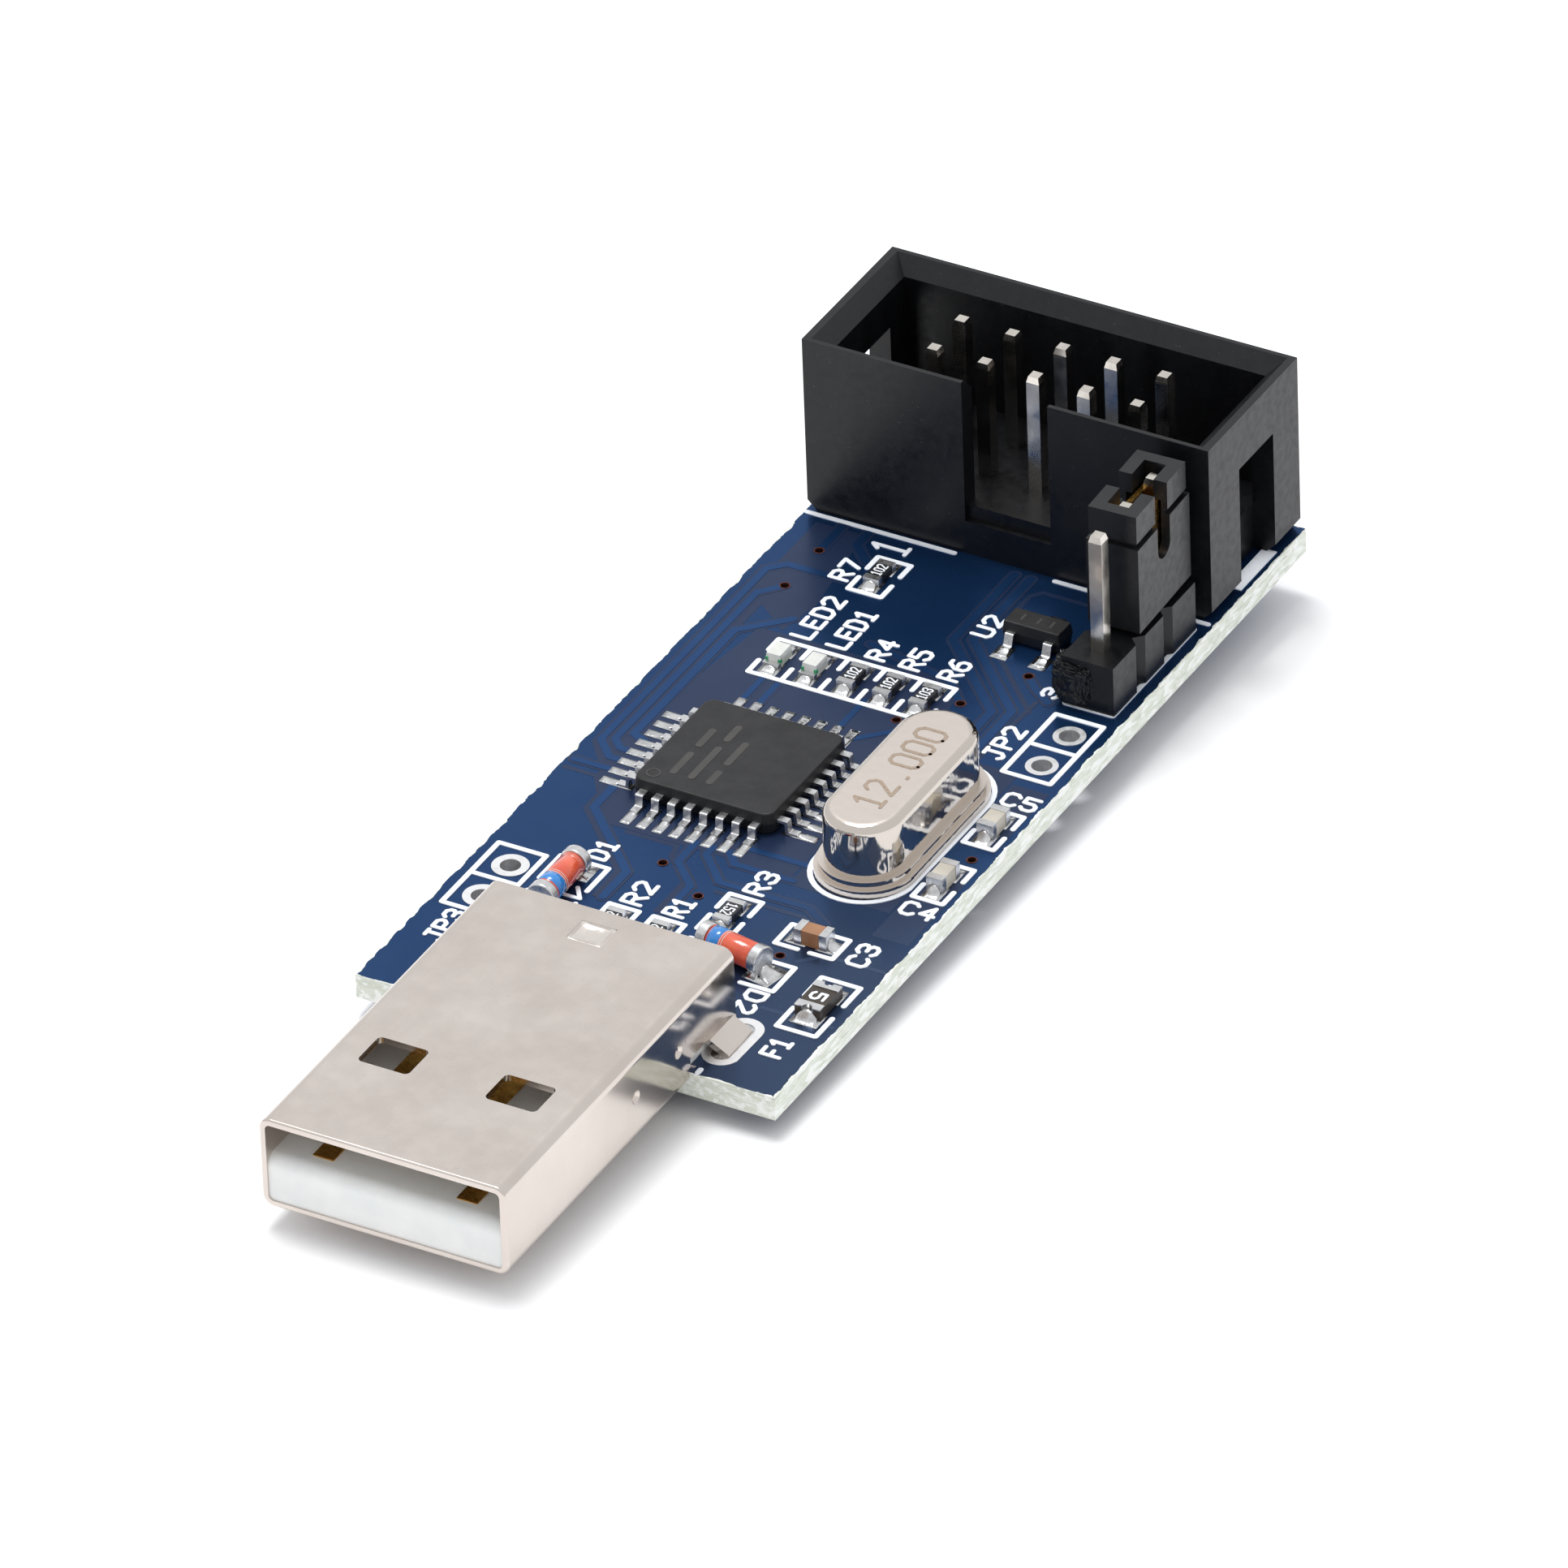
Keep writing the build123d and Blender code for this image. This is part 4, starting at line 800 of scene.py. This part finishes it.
def make_legend():
    """White outlines and part numbers printed on the board."""
    bm = bmesh.new()
    for box in UPRIGHT_BOXES:
        upright_box(bm, *box)
    for box in FLAT_BOXES:
        flat_box(bm, *box)
    for rail, end in ROW_RAILS:
        printed_line(bm, (ROW_DIVIDERS[0], rail), (ROW_DIVIDERS[-1], rail))
        for x in ROW_DIVIDERS:
            printed_line(bm, (x, rail), (x, end))
    for x0, x1, y0, y1, divider in JUMPER_BOXES:
        closed_box(bm, x0, x1, y0, y1)
        printed_line(bm, (x0, divider), (x1, divider))
    closed_box(bm, 7.27, 9.63, 31.72, 39.28)
    crystal = node_middle("crystal_base")
    printed_line(bm, *slot_outline(crystal.x, crystal.y, 11.5, 4.8, steps=20)[:-1], closed=True)
    header_front = node_box("isp_header_housing")[0].y
    for start, end in HEADER_LINES:
        printed_line(bm, (start, header_front - HEADER_LINE_GAP), (end, header_front - HEADER_LINE_GAP))
    block(bm, 9.35, 10.05, 42.9, 46.3, 0.0, LEGEND_TOP)
    printed_line(bm, (6.5, 0.12), (6.5, 0.38))
    # the diode's sign, half hidden by the plug
    printed_line(bm, (-4.9, 9.9), (-4.4, 9.2), (-5.3, 9.2), width=0.2)
    for designator in DESIGNATORS + SIDE_DESIGNATORS:
        printed_text(bm, *designator)
    finish_piece("printed_legend", bm, "legend")


# ------------------------------------------------------------------ markings on the parts
CODES = {"r1": "102", "r2": "102", "r3": "152", "r4": "102", "r5": "102", "r6": "103", "r7": "102"}
CODES_FROM_REAR = ("r3",)
CODE_HEIGHT, CODE_LENGTH, CODE_STROKE = 0.54, 0.84, 0.07
MARK_WIDTH, MARK_GAP = 0.34, 0.8
MARK_ROWS = [(-2.0, (1.5, 1.2)), (-1.1, (2.4, 1.0)), (-0.2, (0.8, 1.6))]  # x, and the bars' lengths
REGULATOR_MARKS = (-0.7, 0.1, 0.75)
INK = 0.012


def make_value_codes():
    """Number codes on the resistors and on the fuse."""
    codes = bmesh.new()
    for name, code in CODES.items():
        middle, top = node_middle(f"resistor_{name}_body"), node_box(f"resistor_{name}_body")[1].z
        side = -1 if name in CODES_FROM_REAR else 1
        start = (middle.x + side * CODE_HEIGHT / 2, middle.y - side * CODE_LENGTH / 2)
        size = (CODE_HEIGHT, CODE_LENGTH)
        letters(codes, code, *start, *size, top, top + INK, turn=90 * side, stroke=CODE_STROKE)
    middle, top = node_middle("fuse_body"), node_box("fuse_body")[1].z
    letters(codes, "5", middle.x - 0.4, middle.y + 0.28, 0.8, 0.6, top, top + INK, turn=-90, stroke=0.14)
    finish_piece("value_codes", codes, "legend")


def make_chip_marks():
    """Plain bars and a pin-one ring on the microcontroller, and plain bars on the regulator."""
    bars = bmesh.new()
    middle, top = node_middle("microcontroller_package"), node_box("microcontroller_package")[1].z
    for x, lengths in MARK_ROWS:
        y = middle.y - 2.3
        for length in lengths:
            ribbon(bars, [(middle.x + x, y), (middle.x + x, y + length)], MARK_WIDTH, top, top + INK / 2)
            y += length + MARK_GAP
    ring(bars, middle.x - 2.75, middle.y - 2.75, 0.26, 0.33, top, top + 0.008)
    middle, top = node_middle("regulator_package"), node_box("regulator_package")[1].z
    for x in REGULATOR_MARKS:
        ends = [(middle.x + x, middle.y - 0.18), (middle.x + x, middle.y + 0.2)]
        ribbon(bars, ends, 0.12, top, top + INK / 2)
    finish_piece("chip_marks", bars, "faint_mark")


def make_crystal_mark():
    """The crystal's frequency, etched in its can."""
    etched = bmesh.new()
    middle, top = node_middle("crystal_can"), node_box("crystal_can")[1].z
    letters(etched, "12.000", middle.x + 0.78, middle.y - 3.3, 1.56, 6.5, top, top + 0.01, stroke=0.17)
    finish_piece("crystal_marking", etched, "etched")


# ------------------------------------------------------------------ glass diodes
CAP_LENGTH = 0.5
TUBE_RADIUS = 0.62
TUBE_EDGE = 0.06
BAND_START, BAND_LENGTH, BAND_SLOPE, BAND_PROUD = 0.1, 0.6, 0.02, 0.012
JOINT_LINES = (-0.42, -0.3)
JOINT_WIDTH, JOINT_SLOPE, JOINT_PROUD = 0.02, 0.01, 0.008
SUNK = 0.02  # how far a band round the tube reaches into it


def turned(bm, profile, steps=32):
    """A solid turned about the X axis from (along, radius) points, closed at both ends."""
    rings = []
    for along, radius in profile:
        circle = [
            bm.verts.new((along, radius * math.cos(t), radius * math.sin(t)))
            for t in [2 * math.pi * i / steps for i in range(steps)]
        ]
        rings.append(circle)
    for one, two in zip(rings, rings[1:]):
        for i in range(steps):
            bm.faces.new((one[i - 1], one[i], two[i], two[i - 1]))
    bm.faces.new(rings[0])
    bm.faces.new(rings[-1][::-1])


def band_profile(start, length, slope, proud):
    """A band round the tube, with sloping ends that reach into it."""
    foot, skin = TUBE_RADIUS - SUNK, TUBE_RADIUS + proud
    end = start + 2 * slope + length
    return [(start, foot), (start + slope, skin), (end - slope, skin), (end, foot)]


def make_diode(name, heading):
    """A coloured tube with pale lines where its two slugs meet, and the cathode band round it."""
    middle = node_middle(f"diode_{name}_caps")
    axis = Matrix.Translation(middle) @ Matrix.Rotation(math.radians(heading), 4, "Z")
    half = DIODE_LENGTH / 2 - CAP_LENGTH
    tube_profile = [
        (-half, TUBE_RADIUS - TUBE_EDGE), (-half + TUBE_EDGE, TUBE_RADIUS),
        (half - TUBE_EDGE, TUBE_RADIUS), (half, TUBE_RADIUS - TUBE_EDGE),
    ]
    joint_start = JOINT_WIDTH / 2 + JOINT_SLOPE
    joint_profiles = [
        band_profile(along - joint_start, JOINT_WIDTH, JOINT_SLOPE, JOINT_PROUD) for along in JOINT_LINES
    ]
    band_profiles = [band_profile(-half + BAND_START, BAND_LENGTH, BAND_SLOPE, BAND_PROUD)]
    for part, profiles, finish in (
        ("tube", [tube_profile], "diode_orange"), ("joint", joint_profiles, "ceramic_white"),
        ("band", band_profiles, "diode_blue"),
    ):
        bm = bmesh.new()
        for profile in profiles:
            turned(bm, profile)
        bm.transform(axis)
        finish_piece(f"diode_{name}_{part}", bm, finish, smooth=True)
    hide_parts(f"diode_{name}_glass")


# ------------------------------------------------------------------ broken plastic, boss and lamp detail
CRUMB_INSET = 0.5  # from the header's corner to the lump's middle
CRUMB_HEIGHT = 1.25
CRUMB_SIZE = Vector((1.05, 0.78, 1.15))
CRUMB_SQUARENESS = 0.6
CRUMB_ROUGHNESS = [(4.0, 0.12), (11.0, 0.1), (25.0, 0.05)]  # how fine each layer is, and how strong


def make_crumb():
    """The torn corner at the front of the jumper header, where its neighbour was broken off."""
    low, high = node_box("jumper_header_housing")
    bm = bmesh.new()
    bmesh.ops.create_icosphere(bm, subdivisions=5, radius=1.0)
    middle = Vector((low.x + CRUMB_INSET, low.y + CRUMB_INSET, CRUMB_HEIGHT))
    for vert in bm.verts:
        way = vert.co.normalized()
        boxy = [math.copysign(abs(c) ** CRUMB_SQUARENESS, c) for c in way]
        rough = sum(strength * noise.noise(way * fineness) for fineness, strength in CRUMB_ROUGHNESS)
        vert.co = middle + Vector([c * size * (1 + rough) for c, size in zip(boxy, CRUMB_SIZE)])
        vert.co.z = min(max(vert.co.z, 0.05), high.z - 0.04)
    finish_piece("jumper_header_break", bm, "black_plastic")


BOSS_Y, BOSS_DEPTH, BOSS_PROUD, BOSS_SHEET = 2.35, 0.1, 0.004, 0.02
BOSS_HALF = Vector((0.86, 0.74))
BOSS_FLAT = 0.4  # the share of the dish that is flat
BOSS_STEPS = 16


def boss_height(u, v):
    """The dish's height against the roof, at a place from -1 to 1 each way."""
    edge = min((u ** 4 + v ** 4) ** 0.25, 1.0)
    slope = min(max((edge - BOSS_FLAT) / (1 - BOSS_FLAT), 0.0), 1.0)
    return BOSS_PROUD - BOSS_DEPTH * (1 - slope * slope * (3 - 2 * slope))


def make_boss():
    """The soft-edged dish pressed into the plug's roof, over the plain one of the CAD shell."""
    roof = node_box("usb_shell")[1].z
    ticks = [2 * i / BOSS_STEPS - 1 for i in range(BOSS_STEPS + 1)]
    bm = bmesh.new()
    layers = []
    for drop in (0.0, BOSS_SHEET):
        layer = [
            [
                bm.verts.new((
                    PLUG_X + u * BOSS_HALF.x, BOSS_Y + v * BOSS_HALF.y, roof + boss_height(u, v) - drop
                ))
                for v in ticks
            ]
            for u in ticks
        ]
        for one, two in zip(layer, layer[1:]):
            for j in range(BOSS_STEPS):
                bm.faces.new((one[j], two[j], two[j + 1], one[j + 1]))
        layers.append(layer)
    rims = [
        [row[0] for row in layer] + layer[-1][1:] + [row[-1] for row in layer[-2::-1]] + layer[0][-2:0:-1]
        for layer in layers
    ]
    upper, lower = rims
    for i in range(len(upper)):
        bm.faces.new((upper[i - 1], upper[i], lower[i], lower[i - 1]))
    finish_piece("usb_shell_boss", bm, "pressed_nickel", smooth=True)


LAMP_MARK_WIDTH, LAMP_MARK_HEIGHT, LAMP_MARK_PROUD = 0.12, 0.16, 0.02


def make_lamp_marks():
    """Green corner marks at the front end of each lamp's lens."""
    bm = bmesh.new()
    for name in ("led_1", "led_2"):
        low, high = node_box(f"{name}_lens")
        front, rear = low.y - LAMP_MARK_PROUD, low.y + LAMP_MARK_WIDTH
        for x0, x1 in (
            (low.x - LAMP_MARK_PROUD, low.x + LAMP_MARK_WIDTH),
            (high.x - LAMP_MARK_WIDTH, high.x + LAMP_MARK_PROUD),
        ):
            block(bm, x0, x1, front, rear, low.z, low.z + LAMP_MARK_HEIGHT)
    finish_piece("lamp_polarity_marks", bm, "led_green")


# ------------------------------------------------------------------ finishes of the CAD nodes
# nodes with moulded or pressed edges, and the width of their rounding
SOFTENED = {
    "jumper_shunt_housing": 0.07, "jumper_header_housing": 0.05,
    "microcontroller_package": 0.05, "usb_shell": 0.06,
}
SOFTENED_FROM = math.radians(50)
# the jumper shunt gets black plastic painted lighter, as painted light on its sides
PAINTED_LIGHT_FINISHES = {"jumper_shunt_housing": "shunt_plastic_painted_lighter"}


def dress_nodes():
    """Gives every CAD node the finish of its material slot, or for the jumper shunt black plastic painted
    lighter, as painted light on its sides.
    """
    slots = {part["node"]: part["material_slot"] for part in frame["record"]["subparts"]}
    for name, node in frame["nodes"].items():
        node.data.materials.clear()
        node.data.materials.append(FINISHES[PAINTED_LIGHT_FINISHES.get(name, slots[name])])
    for name, width in SOFTENED.items():
        soft = frame["nodes"][name].modifiers.new("softened_edges", "BEVEL")
        soft.width, soft.segments, soft.limit_method = width * MM, 2, "ANGLE"
        soft.angle_limit = SOFTENED_FROM


# ------------------------------------------------------------------ stage, lights and camera
CAMERA_PLACE = Vector((0.36804, -0.61283 + ORIGIN.y, 0.50626))
CAMERA_AZIMUTH, CAMERA_ELEVATION, CAMERA_ROLL = 30.2, 34.467, -2.18
CAMERA_LENS = 469.27
FLOOR_SIZE = 6.0
AHEAD = 10 * MM  # how far ahead of its pins the part's front rest lies at the least
KEY_PLACE, KEY_SIZE, KEY_POWER = Vector((-0.12, 0.08, 0.7)), 0.25, 3.0
SURROUND, SURROUND_STRENGTH = (0.98, 0.99, 1.0, 1.0), 0.88


def make_floor():
    """A plain pale floor under the jumper header's front pin and the lowest point well ahead of it."""
    pins = Vector((0.0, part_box("jumper_header_pins")[0].y, cad_box[0].z))
    corners = [node.matrix_world @ vert.co for node in frame["nodes"].values() for vert in node.data.vertices]
    slope = min((v.z - pins.z) / (pins.y - v.y) for v in corners if v.y < pins.y - AHEAD)
    bpy.ops.mesh.primitive_plane_add(size=FLOOR_SIZE, location=pins, rotation=(-math.atan(slope), 0, 0))
    floor = bpy.context.object
    floor.name = "floor"
    finish = Finish("floor_white", 0.6)
    finish.color(finish.blend(finish.noise(40.0), rgb(250, 250, 251), rgb(246, 246, 248)))
    floor.data.materials.append(finish.material)


def make_lights():
    """A bright tent: a white surround and a soft square key above the part."""
    world = bpy.data.worlds.new("studio")
    world.use_nodes = True
    background = world.node_tree.nodes["Background"]
    background.inputs["Color"].default_value = SURROUND
    background.inputs["Strength"].default_value = SURROUND_STRENGTH
    bpy.context.scene.world = world
    light = bpy.data.lights.new("key", "AREA")
    light.shape, light.size, light.energy = "SQUARE", KEY_SIZE, KEY_POWER
    key = bpy.data.objects.new("key", light)
    key.location = KEY_PLACE
    key.rotation_euler = (-KEY_PLACE).to_track_quat("-Z", "Y").to_euler()
    bpy.context.scene.collection.objects.link(key)


def make_camera():
    camera = bpy.data.objects.new("camera", bpy.data.cameras.new("camera"))
    camera.data.lens = CAMERA_LENS
    camera.data.sensor_width = 36.0
    camera.data.clip_start, camera.data.clip_end = 0.05, 20.0
    azimuth, elevation = math.radians(CAMERA_AZIMUTH), math.radians(CAMERA_ELEVATION)
    ahead = Vector((
        -math.sin(azimuth) * math.cos(elevation), math.cos(azimuth) * math.cos(elevation), -math.sin(elevation)
    ))
    level = ahead.to_track_quat("-Z", "Y").to_matrix().to_4x4()
    roll = Matrix.Rotation(math.radians(CAMERA_ROLL), 4, "Z")
    camera.matrix_world = Matrix.Translation(CAMERA_PLACE) @ level @ roll
    bpy.context.scene.collection.objects.link(camera)
    bpy.context.scene.camera = camera


make_camera()
make_lights()
make_floor()
dress_nodes()
make_tracks()
make_vias()
make_chip_solder()
make_mcu_pads()
make_small_pads()
make_hole_pads()
make_legend()
make_value_codes()
make_chip_marks()
make_crystal_mark()
for diode, direction in DIODES.items():
    make_diode(diode, direction)
make_crumb()
make_boss()
make_lamp_marks()
bpy.context.scene.view_settings.view_transform = "Standard"
